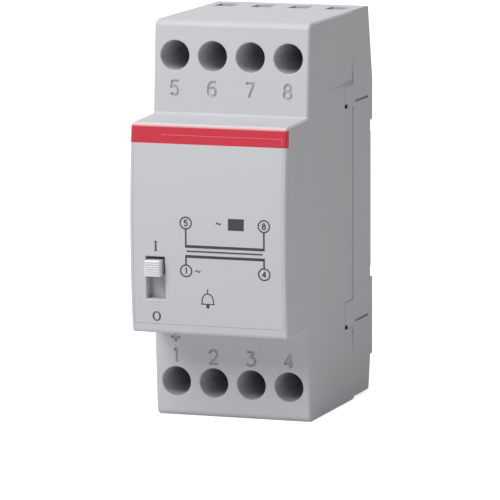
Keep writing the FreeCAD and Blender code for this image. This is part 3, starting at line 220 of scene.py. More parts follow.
class Nodes:
    """A short way to add and join the nodes of one material."""

    def __init__(self, name):
        self.material = bpy.data.materials.new(name)
        self.material.use_nodes = True
        self.tree = self.material.node_tree
        self.tree.nodes.clear()

    def add(self, kind, **inputs):
        """Adds a node and sets its inputs by name, with spaces written as underscores."""
        node = self.tree.nodes.new(kind)
        for name, value in inputs.items():
            node.inputs[name.replace("_", " ")].default_value = value
        return node

    def join(self, source, target):
        """Joins an output socket to an input socket."""
        self.tree.links.new(source, target)

    def place(self, stretch=(1, 1, 1)):
        """The object's own coordinates in metres, stretched per axis."""
        coordinates = self.add("ShaderNodeTexCoord")
        mapping = self.add("ShaderNodeMapping", Scale=stretch)
        self.join(coordinates.outputs["Object"], mapping.inputs["Vector"])
        return mapping.outputs["Vector"]

    def noise(self, place, scale, detail=2.0):
        """A noise field over the given coordinates."""
        noise = self.add("ShaderNodeTexNoise", Scale=scale, Detail=detail)
        self.join(place, noise.inputs["Vector"])
        return noise.outputs["Fac"]

    def ramp(self, value, low, high):
        """Spreads a value from 0 to 1 over low to high."""
        spread = self.add("ShaderNodeMapRange", To_Min=low, To_Max=high)
        self.join(value, spread.inputs["Value"])
        return spread.outputs["Result"]

    def tint(self, value, first, second):
        """Mixes two colours by a value."""
        mix = self.tree.nodes.new("ShaderNodeMix")
        mix.data_type = "RGBA"
        mix.inputs["A"].default_value = first
        mix.inputs["B"].default_value = second
        self.join(value, mix.inputs["Factor"])
        return mix.outputs["Result"]

    def bump(self, height, strength, distance, below=None):
        """A bump from a height field, with the distance in millimetres."""
        bump = self.add("ShaderNodeBump", Strength=strength, Distance=distance * MM)
        self.join(height, bump.inputs["Height"])
        if below is not None:
            self.join(below, bump.inputs["Normal"])
        return bump.outputs["Normal"]

    def surface(self, color, roughness, normal, **constants):
        """The finished surface, with constant values on the shader's own sockets."""
        shader = self.add("ShaderNodeBsdfPrincipled", **constants)
        for socket, value in (("Base Color", color), ("Roughness", roughness), ("Normal", normal)):
            self.join(value, shader.inputs[socket])
        output = self.add("ShaderNodeOutputMaterial")
        self.join(shader.outputs["BSDF"], output.inputs["Surface"])
        return self.material


def shaded(color, amount):
    """A colour made lighter or darker by a share."""
    return tuple(min(1.0, part * (1 + amount)) for part in color[:3]) + (1.0,)


def moulded(name, color, roughness=0.5, grain=0.02, mottle=0.02):
    """Moulded plastic: faint mottling, a spark-eroded grain and slow waves from the mould."""
    nodes = Nodes(name)
    place = nodes.place()
    slow = nodes.noise(place, MOTTLE_SCALE)
    fine = nodes.noise(place, GRAIN_SCALE)
    tone = nodes.tint(slow, shaded(color, -mottle), shaded(color, mottle))
    gloss = nodes.ramp(fine, roughness - GLOSS_SPREAD, roughness + GLOSS_SPREAD)
    waves = nodes.bump(slow, 0.15, 0.2)
    normal = nodes.bump(fine, GRAIN_STRENGTH, grain, waves)
    return nodes.surface(tone, gloss, normal)


def film(name, color):
    """Printed film: even and slightly glossier than the case, with a faint orange-peel."""
    nodes = Nodes(name)
    place = nodes.place()
    slow = nodes.noise(place, 130.0)
    fine = nodes.noise(place, 2400.0)
    tone = nodes.tint(slow, shaded(color, -0.01), shaded(color, 0.01))
    gloss = nodes.ramp(fine, 0.36, 0.46)
    normal = nodes.bump(fine, 0.2, 0.01)
    return nodes.surface(tone, gloss, normal)


def ink(name, color):
    """Screen-printed ink: slightly uneven in cover. Also used for the painted highlight line on the band.
    """
    nodes = Nodes(name)
    place = nodes.place()
    cover = nodes.noise(place, 1800.0, 4.0)
    tone = nodes.tint(cover, shaded(color, -0.25), shaded(color, 0.35))
    gloss = nodes.ramp(cover, 0.45, 0.6)
    normal = nodes.bump(cover, 0.2, 0.005)
    return nodes.surface(tone, gloss, normal)


def metal(name, color, roughness=0.35, stretch=(1, 1, 1), scale=1500.0):
    """Rolled, turned or plated metal with fine marks along one direction."""
    nodes = Nodes(name)
    marks = nodes.noise(nodes.place(stretch), scale, 3.0)
    patches = nodes.noise(nodes.place(), 160.0)
    tone = nodes.tint(patches, shaded(color, -0.18), shaded(color, 0.08))
    gloss = nodes.ramp(marks, roughness - 0.08, roughness + 0.12)
    normal = nodes.bump(marks, 0.4, 0.01)
    return nodes.surface(tone, gloss, normal, Metallic=1.0)


def two_tone(name, color, other, axis, limits, roughness):
    """Moulded plastic that changes to another colour between two places along an axis; here that paints a
    highlight on the band and shade on the button.
    """
    nodes = Nodes(name)
    place = nodes.place()
    slow = nodes.noise(place, MOTTLE_SCALE)
    fine = nodes.noise(place, GRAIN_SCALE)
    tone = nodes.tint(slow, shaded(color, -0.03), shaded(color, 0.03))
    along = nodes.tree.nodes.new("ShaderNodeSeparateXYZ")
    nodes.join(place, along.inputs["Vector"])
    edge = nodes.add("ShaderNodeMapRange", From_Min=limits[0] * MM, From_Max=limits[1] * MM)
    nodes.join(along.outputs[axis], edge.inputs["Value"])
    both = nodes.tree.nodes.new("ShaderNodeMix")
    both.data_type = "RGBA"
    nodes.join(tone, both.inputs["A"])
    both.inputs["B"].default_value = other
    nodes.join(edge.outputs["Result"], both.inputs["Factor"])
    gloss = nodes.ramp(fine, roughness - GLOSS_SPREAD, roughness + GLOSS_SPREAD)
    normal = nodes.bump(fine, GRAIN_STRENGTH, 0.012)
    return nodes.surface(both.outputs["Result"], gloss, normal)


def banded(name, color, pitch, axis, depth, roughness, metallic=0.0, contrast=0.25):
    """Equal bands across one axis, for stacked sheets and for wound wire."""
    nodes = Nodes(name)
    wave = nodes.tree.nodes.new("ShaderNodeTexWave")
    wave.bands_direction = axis
    wave.inputs["Scale"].default_value = math.pi / (10 * pitch * MM)
    wave.inputs["Distortion"].default_value = 0.4
    nodes.join(nodes.place(), wave.inputs["Vector"])
    height = wave.outputs["Fac"]
    patches = nodes.noise(nodes.place(), 200.0)
    tone = nodes.tint(height, shaded(color, -contrast), shaded(color, contrast / 3))
    gloss = nodes.ramp(patches, roughness - 0.06, roughness + 0.1)
    normal = nodes.bump(height, 0.7, depth)
    return nodes.surface(tone, gloss, normal, Metallic=metallic)


def make_materials():
    """Every finish: one for each material slot of the record, the dark ink, and the rose ink that paints
    a highlight line.
    """
    case = linear(206, 207, 211)
    return {
        "housing_grey": moulded("housing_grey", case, 0.52),
        # band_red paints a highlight: above its red it turns to a pale colour, brighter than the case,
        # across the rounded top edge
        "band_red": two_tone(
            "band_red", linear(206, 40, 62), linear(232, 226, 228), "Z", BAND_HIGHLIGHT_Z, 0.42),
        "film_grey": film("film_grey", case),
        # button_white paints shade: behind its bright front, the button's flanks and the plate turn a
        # darker grey
        "button_white": two_tone(
            "button_white", linear(246, 247, 249), linear(190, 191, 195), "Y", BUTTON_SHADE_Y, 0.4),
        "switch_black": moulded("switch_black", linear(44, 45, 48), 0.5),
        "core_steel": banded("core_steel", linear(120, 122, 126), 0.5, "X", 0.06, 0.42, 1.0),
        "strap_steel": metal("strap_steel", linear(196, 198, 200), 0.32, (1, 1, 0.05)),
        "bobbin_plastic": moulded("bobbin_plastic", linear(226, 224, 214), 0.5),
        "winding_copper": banded("winding_copper", linear(176, 98, 52), 0.32, "Y", 0.1, 0.3, 1.0, 0.5),
        "tape_yellow": film("tape_yellow", linear(224, 190, 74)),
        "cutout_black": moulded("cutout_black", linear(38, 38, 40), 0.45),
        "contact_brass": metal("contact_brass", linear(206, 168, 92), 0.3, (1, 1, 0.08)),
        "cage_steel": metal("cage_steel", linear(168, 170, 174), 0.38),
        "screw_steel": metal("screw_steel", linear(182, 184, 186), 0.34, (1, 0.1, 1)),
        "lead_brown": moulded("lead_brown", linear(104, 62, 40), 0.45, 0.006),
        "lead_blue": moulded("lead_blue", linear(38, 78, 156), 0.45, 0.006),
        "lead_white": moulded("lead_white", linear(222, 222, 218), 0.45, 0.006),
        "clip_grey": moulded("clip_grey", linear(176, 178, 182), 0.5),
        "spring_steel": metal("spring_steel", linear(174, 176, 180), 0.28, (1, 1, 0.2)),
        "print_dark": ink("print_dark", linear(58, 60, 66)),
        # This rose ink paints a highlight: the pale line where light catches the edge of the clear cover
        "painted_highlight_rose": ink("painted_highlight_rose", linear(232, 100, 118)),
    }


def dress_nodes(materials):
    """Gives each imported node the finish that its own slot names."""
    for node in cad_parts.values():
        for place in node.material_slots:
            name = place.material.name.split(".")[0]
            place.material = materials[name]


def nose_y(z):
    """Depth of the bowed nose front at a height."""
    radius = (HALF_NOSE ** 2 + NOSE_BOW ** 2) / (2 * NOSE_BOW)
    return NOSE_CORNER_Y - NOSE_BOW + radius - math.sqrt(radius ** 2 - z ** 2)


def shoulder_place(x, z):
    """A point on a shoulder, with the outward and the upward direction there."""
    end = math.copysign(1, z)
    slope = SHOULDER_FALL / (HALF_HEIGHT - HALF_NOSE)
    y = SHOULDER_FOOT_Y + slope * (abs(z) - HALF_NOSE)
    outward = Vector((0, -1, end * slope)).normalized()
    upward = Vector((0, end * slope, 1)).normalized()
    return Vector((x, y, z)), outward, upward


def link(mesh, name):
    """A new object with the given mesh."""
    piece = bpy.data.objects.new(name, mesh)
    bpy.context.scene.collection.objects.link(piece)
    return piece


def welded_copy(node, name):
    """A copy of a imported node's mesh with its split corners joined again."""
    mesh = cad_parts[node].data.copy()
    mesh.name = name
    for layer in ("custom_normal", "sharp_face", "sharp_edge"):
        if layer in mesh.attributes:
            mesh.attributes.remove(mesh.attributes[layer])
    work = bmesh.new()
    work.from_mesh(mesh)
    bmesh.ops.remove_doubles(work, verts=work.verts, dist=WELD * MM)
    bmesh.ops.recalc_face_normals(work, faces=work.faces)
    work.to_mesh(mesh)
    work.free()
    return link(mesh, name)


def applied(piece):
    """Replaces a piece's mesh by what its modifiers make of it."""
    ready = bpy.context.evaluated_depsgraph_get()
    mesh = bpy.data.meshes.new_from_object(piece.evaluated_get(ready))
    piece.modifiers.clear()
    piece.data = mesh


def smooth_by_size(piece):
    """Whole flat faces beside smooth rounds: sharp above an angle, with large faces leading."""
    work = bmesh.new()
    work.from_mesh(piece.data)
    bmesh.ops.dissolve_degenerate(work, dist=WELD * MM, edges=work.edges)
    bmesh.ops.dissolve_limit(
        work, angle_limit=math.radians(FLAT_ANGLE), verts=work.verts, edges=work.edges)
    for face in work.faces:
        face.smooth = True
    for edge in work.edges:
        edge.smooth = edge.is_manifold and edge.calc_face_angle() < math.radians(SHARP_ANGLE)
    work.to_mesh(piece.data)
    work.free()
    weights = piece.modifiers.new("face_weights", "WEIGHTED_NORMAL")
    weights.keep_sharp = True
    weights.weight = FACE_WEIGHT


def path_frames(points, closed=False):
    """Each point of a flat path with the direction across it, longer where the path turns."""
    count = len(points)
    places = [Vector(point) for point in points]
    frames = []
    for index, here in enumerate(places):
        into = here - places[index - 1] if index or closed else None
        onward = places[(index + 1) % count] - here if index < count - 1 or closed else None
        into = into.normalized() if into else onward.normalized()
        onward = onward.normalized() if onward else into
        along = (into + onward).normalized()
        stretch = 1 / max(LEAST_COSINE, along.dot(into))
        frames.append((here, Vector((-along.y, along.x)) * stretch))
    return frames


def stroke_outline(points, width, closed=False):
    """A flat band of even width along points in the x and z plane."""
    frames = path_frames(points, closed)
    lefts = [place + across * width / 2 for place, across in frames]
    rights = [place - across * width / 2 for place, across in frames]
    quads = []
    for index in range(len(frames) if closed else len(frames) - 1):
        following = (index + 1) % len(frames)
        quads.append([rights[index], rights[following], lefts[following], lefts[index]])
    return quads


def circle_points(x, z, radius_x, radius_z, count=CIRCLE_STEPS, start=0.0, end=2 * math.pi):
    """Points round an ellipse or along a part of it."""
    whole = abs(end - start - 2 * math.pi) < 1e-6
    steps = count if whole else count - 1
    return [
        (x + radius_x * math.cos(start + (end - start) * step / steps),
         z + radius_z * math.sin(start + (end - start) * step / steps))
        for step in range(count)
    ]


def box_outline(x_range, z_range):
    """A flat rectangle."""
    return [[
        Vector((x_range[0], z_range[0])),
        Vector((x_range[1], z_range[0])),
        Vector((x_range[1], z_range[1])),
        Vector((x_range[0], z_range[1])),
    ]]


def number_strokes(text):
    """The strokes of a sign one unit high about its middle, each with whether it closes."""
    def arc(x, z, radius_x, radius_z, start, end):
        return circle_points(x, z, radius_x, radius_z, ARC_STEPS, math.radians(start), math.radians(end))

    def loop(x, z, radius_x, radius_z):
        return circle_points(x, z, radius_x, radius_z, LOOP_STEPS)

    strokes = {
        "1": [([(0.05, 0.54), (0.05, -0.5)], False), ([(-0.17, 0.34), (0.09, 0.53)], False)],
        "2": [(arc(0, 0.21, 0.29, 0.29, 172, -38) + [(-0.3, -0.5)], False),
              ([(-0.36, -0.5), (0.32, -0.5)], False)],
        "3": [([(-0.28, 0.5), (0.3, 0.5)], False), ([(0.28, 0.52), (-0.06, 0.14)], False),
              (arc(-0.03, -0.18, 0.35, 0.32, 98, -150), False)],
        "4": [([(0.14, 0.54), (0.14, -0.5)], False), ([(0.15, 0.52), (-0.3, -0.2)], False),
              ([(-0.36, -0.2), (0.34, -0.2)], False)],
        "5": [([(0.33, 0.5), (-0.24, 0.5)], False), ([(-0.2, 0.52), (-0.25, -0.02)], False),
              (arc(-0.02, -0.18, 0.3, 0.32, 142, -148), False)],
        "6": [([(0.27, 0.5)] + arc(0.04, 0.15, 0.33, 0.35, 95, 180) + [(-0.29, -0.2)], False),
              (loop(0, -0.2, 0.29, 0.3), True)],
        "7": [([(-0.32, 0.5), (0.36, 0.5)], False), ([(0.3, 0.52), (-0.08, -0.5)], False)],
        "8": [(loop(0, 0.26, 0.24, 0.24), True), (loop(0, -0.22, 0.29, 0.28), True)],
        "+": [([(-0.5, 0), (0.5, 0)], False), ([(0, 0.42), (0, -0.42)], False)],
    }
    return strokes[text]


def number_faces(text, x, z, height, width):
    """A printed number's flat faces about a place in the x and z plane."""
    faces = []
    for points, closed in number_strokes(text):
        placed = [(x + height * point[0], z + height * point[1]) for point in points]
        faces += stroke_outline(placed, width, closed)
    return faces


def print_on_nose(name, faces, lift=PRINT_LIFT):
    """Lays flat faces on the bowed front as one printed piece."""
    work = bmesh.new()
    for face in faces:
        corners = [work.verts.new(Vector((p.x, nose_y(p.y) - lift, p.y)) * MM) for p in face]
        work.faces.new(corners)
    bmesh.ops.remove_doubles(work, verts=work.verts, dist=PRINT_WELD * MM)
    for face in work.faces:
        face.normal_update()
        if face.normal.y > 0:
            face.normal_flip()
    mesh = bpy.data.meshes.new(name)
    work.to_mesh(mesh)
    work.free()
    return link(mesh, name)


def transformer_symbol():
    """Two windings as thick bars, the core as a thin one, and their four terminals."""
    left, right = LEFT_CIRCLE_X, RIGHT_CIRCLE_X
    half_thick = THICK_LINE / 2
    half_riser = RISER_LINE / 2
    faces = []
    for bar_z, circle_z in ((SECONDARY_LINE_Z, UPPER_CIRCLE_Z), (PRIMARY_LINE_Z, LOWER_CIRCLE_Z)):
        outward = math.copysign(1, circle_z - bar_z)
        bar = (bar_z - half_thick, bar_z + half_thick)
        faces += box_outline((left - half_riser, right + half_riser), bar)
        riser_start = bar_z + outward * half_thick
        riser_end = circle_z - outward * CIRCLE_RADIUS
        riser = (min(riser_start, riser_end), max(riser_start, riser_end))
        for x in (left, right):
            faces += box_outline((x - half_riser, x + half_riser), riser)
            circle = circle_points(x, circle_z, CIRCLE_RADIUS, CIRCLE_RADIUS)
            faces += stroke_outline(circle, CIRCLE_LINE, True)
    half_thin = THIN_LINE / 2
    core = (left + CORE_LINE_INSETS[0], right - CORE_LINE_INSETS[1])
    faces += box_outline(core, (CORE_LINE_Z - half_thin, CORE_LINE_Z + half_thin))
    for text, x, z in (
        ("5", left, UPPER_CIRCLE_Z), ("8", right, UPPER_CIRCLE_Z),
        ("1", left, LOWER_CIRCLE_Z), ("4", right, LOWER_CIRCLE_Z),
    ):
        faces += number_faces(text, x, z, CIRCLE_NUMBER_HEIGHT, CIRCLE_NUMBER_LINE)
    return faces


def bell_symbol():
    """A bell: stem, dome with a flared rim, and clapper."""
    x, top = BELL_PLACE
    rim_z = top - BELL_HEIGHT
    half_rim = BELL_HALF_RIM
    flare_x, flare_z = BELL_FLARE
    dome_x, dome_z = BELL_DOME_RADII
    neck_x, neck_z = CLAPPER_NECK
    dome = [(x - half_rim, rim_z), (x - half_rim + flare_x, rim_z + flare_z)]
    dome += circle_points(
        x, rim_z + BELL_DOME_RISE, -dome_x, dome_z, BELL_DOME_STEPS, 0.0, math.pi)[1:-1]
    dome += [(x + half_rim - flare_x, rim_z + flare_z), (x + half_rim, rim_z)]
    faces = stroke_outline([(x, top), (x, top - BELL_STEM)], BELL_LINE)
    faces += stroke_outline(dome, BELL_LINE, True)
    clapper = circle_points(x, rim_z - CLAPPER_DROP, *CLAPPER_RADII, CLAPPER_STEPS)
    faces.append([Vector(p) for p in clapper])
    faces += box_outline((x - neck_x, x + neck_x), (rim_z - neck_z, rim_z))
    return faces


def switch_marks():
    """The upright stroke and the ring that mark the switch's two positions."""
    foot_x, foot_z = STROKE_FOOT
    faces = box_outline((STROKE_X - STROKE_HALF_LINE, STROKE_X + STROKE_HALF_LINE), STROKE_ENDS_Z)
    for z in STROKE_ENDS_Z:
        faces += box_outline((STROKE_X - foot_x, STROKE_X + foot_x), (z - foot_z, z + foot_z))
    outer = circle_points(*RING_PLACE, *RING_OUTER_RADII, RING_STEPS)
    inner = circle_points(*RING_PLACE, *RING_INNER_RADII, RING_STEPS)
    for index in range(RING_STEPS):
        following = (index + 1) % RING_STEPS
        corners = (outer[index], outer[following], inner[following], inner[index])
        faces.append([Vector(p) for p in corners])
    return faces


def mains_waves():
    """The wave signs for alternating current beside the upper and the lower terminals."""
    reach_x, reach_z = WAVE_REACH
    start, turn = WAVE_PHASE
    faces = []
    for x, z in WAVE_PLACES:
        points = [
            (x + reach_x * (2 * step / WAVE_STEPS - 1),
             z - reach_z * math.cos((start + turn * step / WAVE_STEPS) * math.pi))
            for step in range(WAVE_STEPS + 1)
        ]
        faces += stroke_outline(points, WAVE_LINE)
    return faces


def make_print(materials):
    """All dark print on the film."""
    faces = transformer_symbol() + bell_symbol() + switch_marks() + mains_waves()
    faces += box_outline(*RATING_BOX)
    piece = print_on_nose("printed_marks", faces)
    piece.data.materials.append(materials["print_dark"])
    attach(piece, "case")


def make_band_line(materials):
    """A painted highlight: the pale line where light catches the edge of the clear cover on the red band.
    """
    left, right = BAND_LINE_X
    foot, top = BAND_LINE_Z
    faces = box_outline((left, right), (top - BAND_LINE_HALF, top + BAND_LINE_HALF))
    faces += box_outline((right - 2 * BAND_LINE_HALF, right), (foot, top - BAND_LINE_HALF))
    piece = print_on_nose("band_highlight_line", faces, BAND_LINE_LIFT)
    # The rose ink paints the highlight line along the cover's edge
    piece.data.materials.append(materials["painted_highlight_rose"])
    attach(piece, "case")


def add_tube(work, rings, closed=False):
    """Adds the faces through rings of corners, with both ends unless it closes on itself."""
    following = rings[1:] + rings[:1] if closed else rings[1:]
    for first, second in zip(rings, following):
        for corner in range(len(first)):
            after = (corner + 1) % len(first)
            work.faces.new((first[corner], first[after], second[after], second[corner]))
    if not closed:
        work.faces.new(rings[0])
        work.faces.new(list(reversed(rings[-1])))


def add_prism(work, first, second):
    """Adds the faces of a solid between two outlines of corners."""
    work.faces.new(first)
    work.faces.new(list(reversed(second)))
    for corner in range(len(first)):
        after = (corner + 1) % len(first)
        work.faces.new((first[corner], second[corner], second[after], first[after]))


def groove_cutter(work, points, closed, place):
    """Adds the solid that presses one tapered groove into a face, along points on it."""
    profile = [
        (-NUMBER_GROOVE / 2, NUMBER_DEPTH), (-NUMBER_GROOVE / 2, 0), (-NUMBER_FLOOR / 2, -NUMBER_DEPTH),
        (NUMBER_FLOOR / 2, -NUMBER_DEPTH), (NUMBER_GROOVE / 2, 0), (NUMBER_GROOVE / 2, NUMBER_DEPTH),
    ]
    rings = []
    for here, across in path_frames(points, closed):
        ring = []
        for offset, height in profile:
            flat = here + across * offset
            ring.append(work.verts.new(place @ Vector((flat.x, flat.y, height))))
        rings.append(ring)
    add_tube(work, rings, closed)


def shoulder_numbers():
    """Every moulded sign: its text, place and height."""
    numbers = [("+", PLUS_PLACE[0], PLUS_PLACE[1], PLUS_SIZE)]
    for index, x in enumerate(TERMINAL_XS):
        numbers.append((str(index + 5), x + NUMBER_SHIFT, UPPER_NUMBER_Z, NUMBER_HEIGHT))
        numbers.append((str(index + 1), x + NUMBER_SHIFT, LOWER_NUMBER_Z, NUMBER_HEIGHT))
    return numbers


def number_cutters(work):
    """Adds the solids that press every moulded sign, each stroke slightly deeper than the last."""
    for text, x, z, height in shoulder_numbers():
        for rank, (points, closed) in enumerate(number_strokes(text)):
            origin, outward, upward = shoulder_place(x, z)
            origin = origin - outward * rank * STROKE_DROP
            turn = Matrix((Vector((1, 0, 0)), upward, outward)).transposed().to_4x4()
            place = Matrix.Scale(MM, 4) @ Matrix.Translation(origin) @ turn
            groove_cutter(work, [Vector(point) * height for point in points], closed, place)


def cut_away(piece, add_cutters):
    """Takes the solids that a function adds to a mesh away from a piece."""
    work = bmesh.new()
    add_cutters(work)
    bmesh.ops.recalc_face_normals(work, faces=work.faces)
    mesh = bpy.data.meshes.new("cutter")
    work.to_mesh(mesh)
    work.free()
    cutter = link(mesh, "cutter")
    cut = piece.modifiers.new("cut", "BOOLEAN")
    cut.operation = "DIFFERENCE"
    cut.solver = "EXACT"
    cut.use_self = True
    cut.object = cutter
    applied(piece)
    bpy.data.objects.remove(cutter)


def stand_for(piece, node, body, slot, materials):
    """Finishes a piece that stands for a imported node."""
    piece.data.materials.clear()
    piece.data.materials.append(materials[slot])
    smooth_by_size(piece)
    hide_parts(node)
    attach(piece, body)


def slot_lip(work):
    """Adds the solid that bevels the rim of the switch slot below and at its right."""
    half_width, half_height = SLOT_SIZE[0] / 2, SLOT_SIZE[1] / 2
    rows = [(-half_height - SLOT_LIP, 0.0)]
    rows += [
        ((half_height - SLOT_INSET) * (2 * step / SLOT_LIP_STEPS - 1), 1.0)
        for step in range(SLOT_LIP_STEPS + 1)
    ]
    rings = []
    for offset, share in rows:
        z = SLOT_MIDDLE[1] + offset
        rim = half_width + SLOT_LIP
        foot = rim - share * SLOT_LIP
        left = SLOT_INSET - half_width
        profile = [
            (left, -SLOT_LIP_STAND), (rim, -SLOT_LIP_STAND), (rim, 0.0),
            (foot, SLOT_LIP_DEPTH * share), (left, SLOT_LIP_DEPTH * share), (left, 0.0),
        ]
        rings.append([
            work.verts.new(Vector((SLOT_MIDDLE[0] + x, nose_y(z) + depth, z)) * MM)
            for x, depth in profile
        ])
    add_tube(work, rings)
    bmesh.ops.remove_doubles(work, verts=work.verts, dist=WELD * MM)


def hole_rims(work):
    """Adds the cones that bevel the rims of the screwdriver holes."""
    for end in (-1, 1):
        for middle in TERMINAL_XS:
            rings = []
            for depth, radius in ((-HOLE_RIM, HOLE_RADIUS + 2 * HOLE_RIM), (HOLE_RIM, HOLE_RADIUS)):
                circle = circle_points(middle, end * HOLE_Z, radius, radius, HOLE_STEPS)
                inward = Vector((0, depth, 0))
                rings.append([work.verts.new((shoulder_place(x, z)[0] + inward) * MM) for x, z in circle])
            add_prism(work, *rings)


def seam_groove(work):
    """Adds the bars that step the shell's rear edges back, which leaves a fine gap at the seam."""
    reach = HALF_HEIGHT + SEAM_DEPTH
    for side in (-1, 1):
        outside, inside = side * (HALF_WIDTH + SEAM_DEPTH), side * (HALF_WIDTH - SEAM_DEPTH)
        front, rear = SEAM_Y - SEAM_WIDTH, SEAM_Y + SEAM_WIDTH
        profile = ((outside, front), (outside, rear), (inside, rear), (inside, front))
        ends = [[work.verts.new(Vector((x, y, z)) * MM) for x, y in profile] for z in (-reach, reach)]
        add_prism(work, *ends)


def draft_nose(mesh):
    """Slopes the nose's upper and lower faces, which makes it taller at its foot."""
    for vertex in mesh.vertices:
        place = vertex.co / MM
        on_face = abs(abs(place.z) - HALF_NOSE) < NOSE_FACE_REACH
        if on_face and place.y < SHOULDER_FOOT_Y + NOSE_FACE_REACH:
            share = (place.y - NOSE_CORNER_Y) / (SHOULDER_FOOT_Y - NOSE_CORNER_Y)
            vertex.co.z += math.copysign(NOSE_DRAFT * min(max(share, 0), 1), place.z) * MM


def make_case_front(materials):
    """The front shell with its drafted nose, moulded signs, bevelled rims and seam gap."""
    piece = welded_copy("front_shell", "case_front")
    draft_nose(piece.data)
    cut_away(piece, number_cutters)
    cut_away(piece, slot_lip)
    cut_away(piece, hole_rims)
    cut_away(piece, seam_groove)
    stand_for(piece, "front_shell", "case", "housing_grey", materials)


def button_grooves(work):
    """Adds the wedges that leave ribs across the button's front."""
    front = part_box("switch_button")[0].y / MM
    pitch = BUTTON_HEIGHT / BUTTON_RIBS
    for rib in range(1, BUTTON_RIBS):
        z = BUTTON_TOP - rib * pitch
        profile = (
            (front - BUTTON_GROOVE_DEPTH, z - BUTTON_GROOVE),
            (front + BUTTON_GROOVE_DEPTH, z),
            (front - BUTTON_GROOVE_DEPTH, z + BUTTON_GROOVE),
        )
        ends = [
            [work.verts.new(Vector((x, y, height)) * MM) for y, height in profile]
            for x in (BUTTON_X - BUTTON_WIDTH, BUTTON_X + BUTTON_WIDTH)
        ]
        add_prism(work, *ends)


def make_button(materials):
    """The slide button with its ribs."""
    piece = welded_copy("switch_button", "ribbed_button")
    cut_away(piece, button_grooves)
    stand_for(piece, "switch_button", "switch", "button_white", materials)


def make_floor():
    """A plain pale floor that keeps the shadow, and glows towards white away from the case."""
    mesh = bpy.data.meshes.new("floor")
    corners = [
        (x * FLOOR_REACH, y * FLOOR_REACH, CAD_LOW.z)
        for x, y in ((-1, -1), (1, -1), (1, 1), (-1, 1))
    ]
    mesh.from_pydata(corners, [], [(0, 1, 2, 3)])
    floor = link(mesh, "floor")
    nodes = Nodes("floor_white")
    speckle = nodes.noise(nodes.place(), FLOOR_SPECKLE)
    tone = nodes.tint(speckle, *FLOOR_TONES)
    diffuse = nodes.add("ShaderNodeBsdfDiffuse")
    nodes.join(tone, diffuse.inputs["Color"])
    glow = nodes.add("ShaderNodeEmission", Color=PAPER_WHITE)
    rays = nodes.add("ShaderNodeLightPath")
    distance = nodes.tree.nodes.new("ShaderNodeVectorMath")
    distance.operation = "LENGTH"
    nodes.join(nodes.place(), distance.inputs[0])
    near, far = GLOW_DISTANCES
    low, high = GLOW_LEVELS
    spread = nodes.add("ShaderNodeMapRange", From_Min=near, From_Max=far, To_Min=low, To_Max=high)
    nodes.join(distance.outputs["Value"], spread.inputs["Value"])
    seen = nodes.tree.nodes.new("ShaderNodeMath")
    seen.operation = "MULTIPLY"
    nodes.join(spread.outputs["Result"], seen.inputs[0])
    nodes.join(rays.outputs["Is Camera Ray"], seen.inputs[1])
    nodes.join(seen.outputs["Value"], glow.inputs["Strength"])
    both = nodes.tree.nodes.new("ShaderNodeAddShader")
    nodes.join(diffuse.outputs["BSDF"], both.inputs[0])
    nodes.join(glow.outputs["Emission"], both.inputs[1])
    output = nodes.add("ShaderNodeOutputMaterial")
    nodes.join(both.outputs["Shader"], output.inputs["Surface"])
    floor.data.materials.append(nodes.material)


def make_world():
    """An even studio: white to the camera and in reflections, softer as light."""
    world = bpy.data.worlds.new("studio")
    bpy.context.scene.world = world
    world.use_nodes = True
    tree = world.node_tree
    tree.nodes.clear()
    rays = tree.nodes.new("ShaderNodeLightPath")
    seen = tree.nodes.new("ShaderNodeMath")
    seen.operation = "MAXIMUM"
    tree.links.new(rays.outputs["Is Camera Ray"], seen.inputs[0])
    tree.links.new(rays.outputs["Is Transmission Ray"], seen.inputs[1])
    mirrored = tree.nodes.new("ShaderNodeMath")
    mirrored.operation = "MAXIMUM"
    tree.links.new(seen.outputs["Value"], mirrored.inputs[0])
    tree.links.new(rays.outputs["Is Glossy Ray"], mirrored.inputs[1])
    strength = tree.nodes.new("ShaderNodeMapRange")
    strength.inputs["To Min"].default_value = WORLD_LEVEL
    strength.inputs["To Max"].default_value = 1.0
    tree.links.new(mirrored.outputs["Value"], strength.inputs["Value"])
    background = tree.nodes.new("ShaderNodeBackground")
    background.inputs["Color"].default_value = PAPER_WHITE
    tree.links.new(strength.outputs["Result"], background.inputs["Strength"])
    output = tree.nodes.new("ShaderNodeOutputWorld")
    tree.links.new(background.outputs["Background"], output.inputs["Surface"])


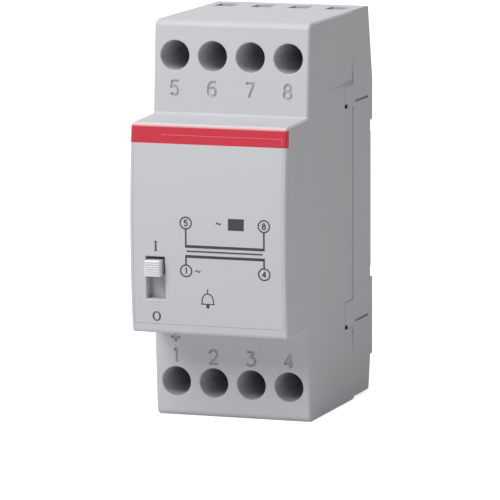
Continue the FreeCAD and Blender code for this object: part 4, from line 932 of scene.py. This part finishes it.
def make_lamp(name, place, size, power):
    """A square soft light aimed at the middle of the case."""
    lamp = bpy.data.lights.new(name, "AREA")
    lamp.size = size
    lamp.energy = power
    holder = bpy.data.objects.new(name, lamp)
    holder.location = place
    aim = (CAD_LOW + CAD_HIGH) / 2 - Vector(place)
    holder.rotation_euler = aim.to_track_quat("-Z", "Y").to_euler()
    bpy.context.scene.collection.objects.link(holder)


def make_camera():
    """The photograph's camera, turned about the aim point in the object's frame."""
    azimuth = math.radians(CAMERA_AZIMUTH)
    elevation = math.radians(CAMERA_ELEVATION)
    back = Vector((
        math.sin(azimuth) * math.cos(elevation),
        -math.cos(azimuth) * math.cos(elevation),
        math.sin(elevation),
    ))
    right = Vector((math.cos(azimuth), math.sin(azimuth), 0))
    up = back.cross(right)
    turn = Matrix((right, up, back)).transposed() @ Matrix.Rotation(math.radians(CAMERA_ROLL), 3, "Z")
    camera = bpy.data.cameras.new("camera")
    camera.sensor_width = CAMERA_SENSOR
    camera.lens = CAMERA_LENS
    camera.clip_start, camera.clip_end = CAMERA_CLIP
    holder = bpy.data.objects.new("camera", camera)
    place = (Vector(CAMERA_AIM) + back * CAMERA_DISTANCE) * MM
    holder.matrix_world = Matrix.Translation(place) @ turn.to_4x4()
    bpy.context.scene.collection.objects.link(holder)
    bpy.context.scene.camera = holder


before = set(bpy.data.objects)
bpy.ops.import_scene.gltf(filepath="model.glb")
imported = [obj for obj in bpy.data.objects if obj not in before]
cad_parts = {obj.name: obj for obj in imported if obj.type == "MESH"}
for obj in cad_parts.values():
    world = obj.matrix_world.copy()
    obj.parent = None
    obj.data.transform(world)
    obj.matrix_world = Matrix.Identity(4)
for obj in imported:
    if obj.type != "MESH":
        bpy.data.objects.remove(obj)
CAD_LOW, CAD_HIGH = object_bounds()
bpy.context.scene.view_settings.view_transform = "Standard"
make_camera()
finishes = make_materials()
dress_nodes(finishes)
make_case_front(finishes)
make_button(finishes)
make_print(finishes)
make_band_line(finishes)
make_floor()
make_world()
for lamp_name, (lamp_place, lamp_size, lamp_power) in LAMPS.items():
    make_lamp(lamp_name, lamp_place, lamp_size, lamp_power)
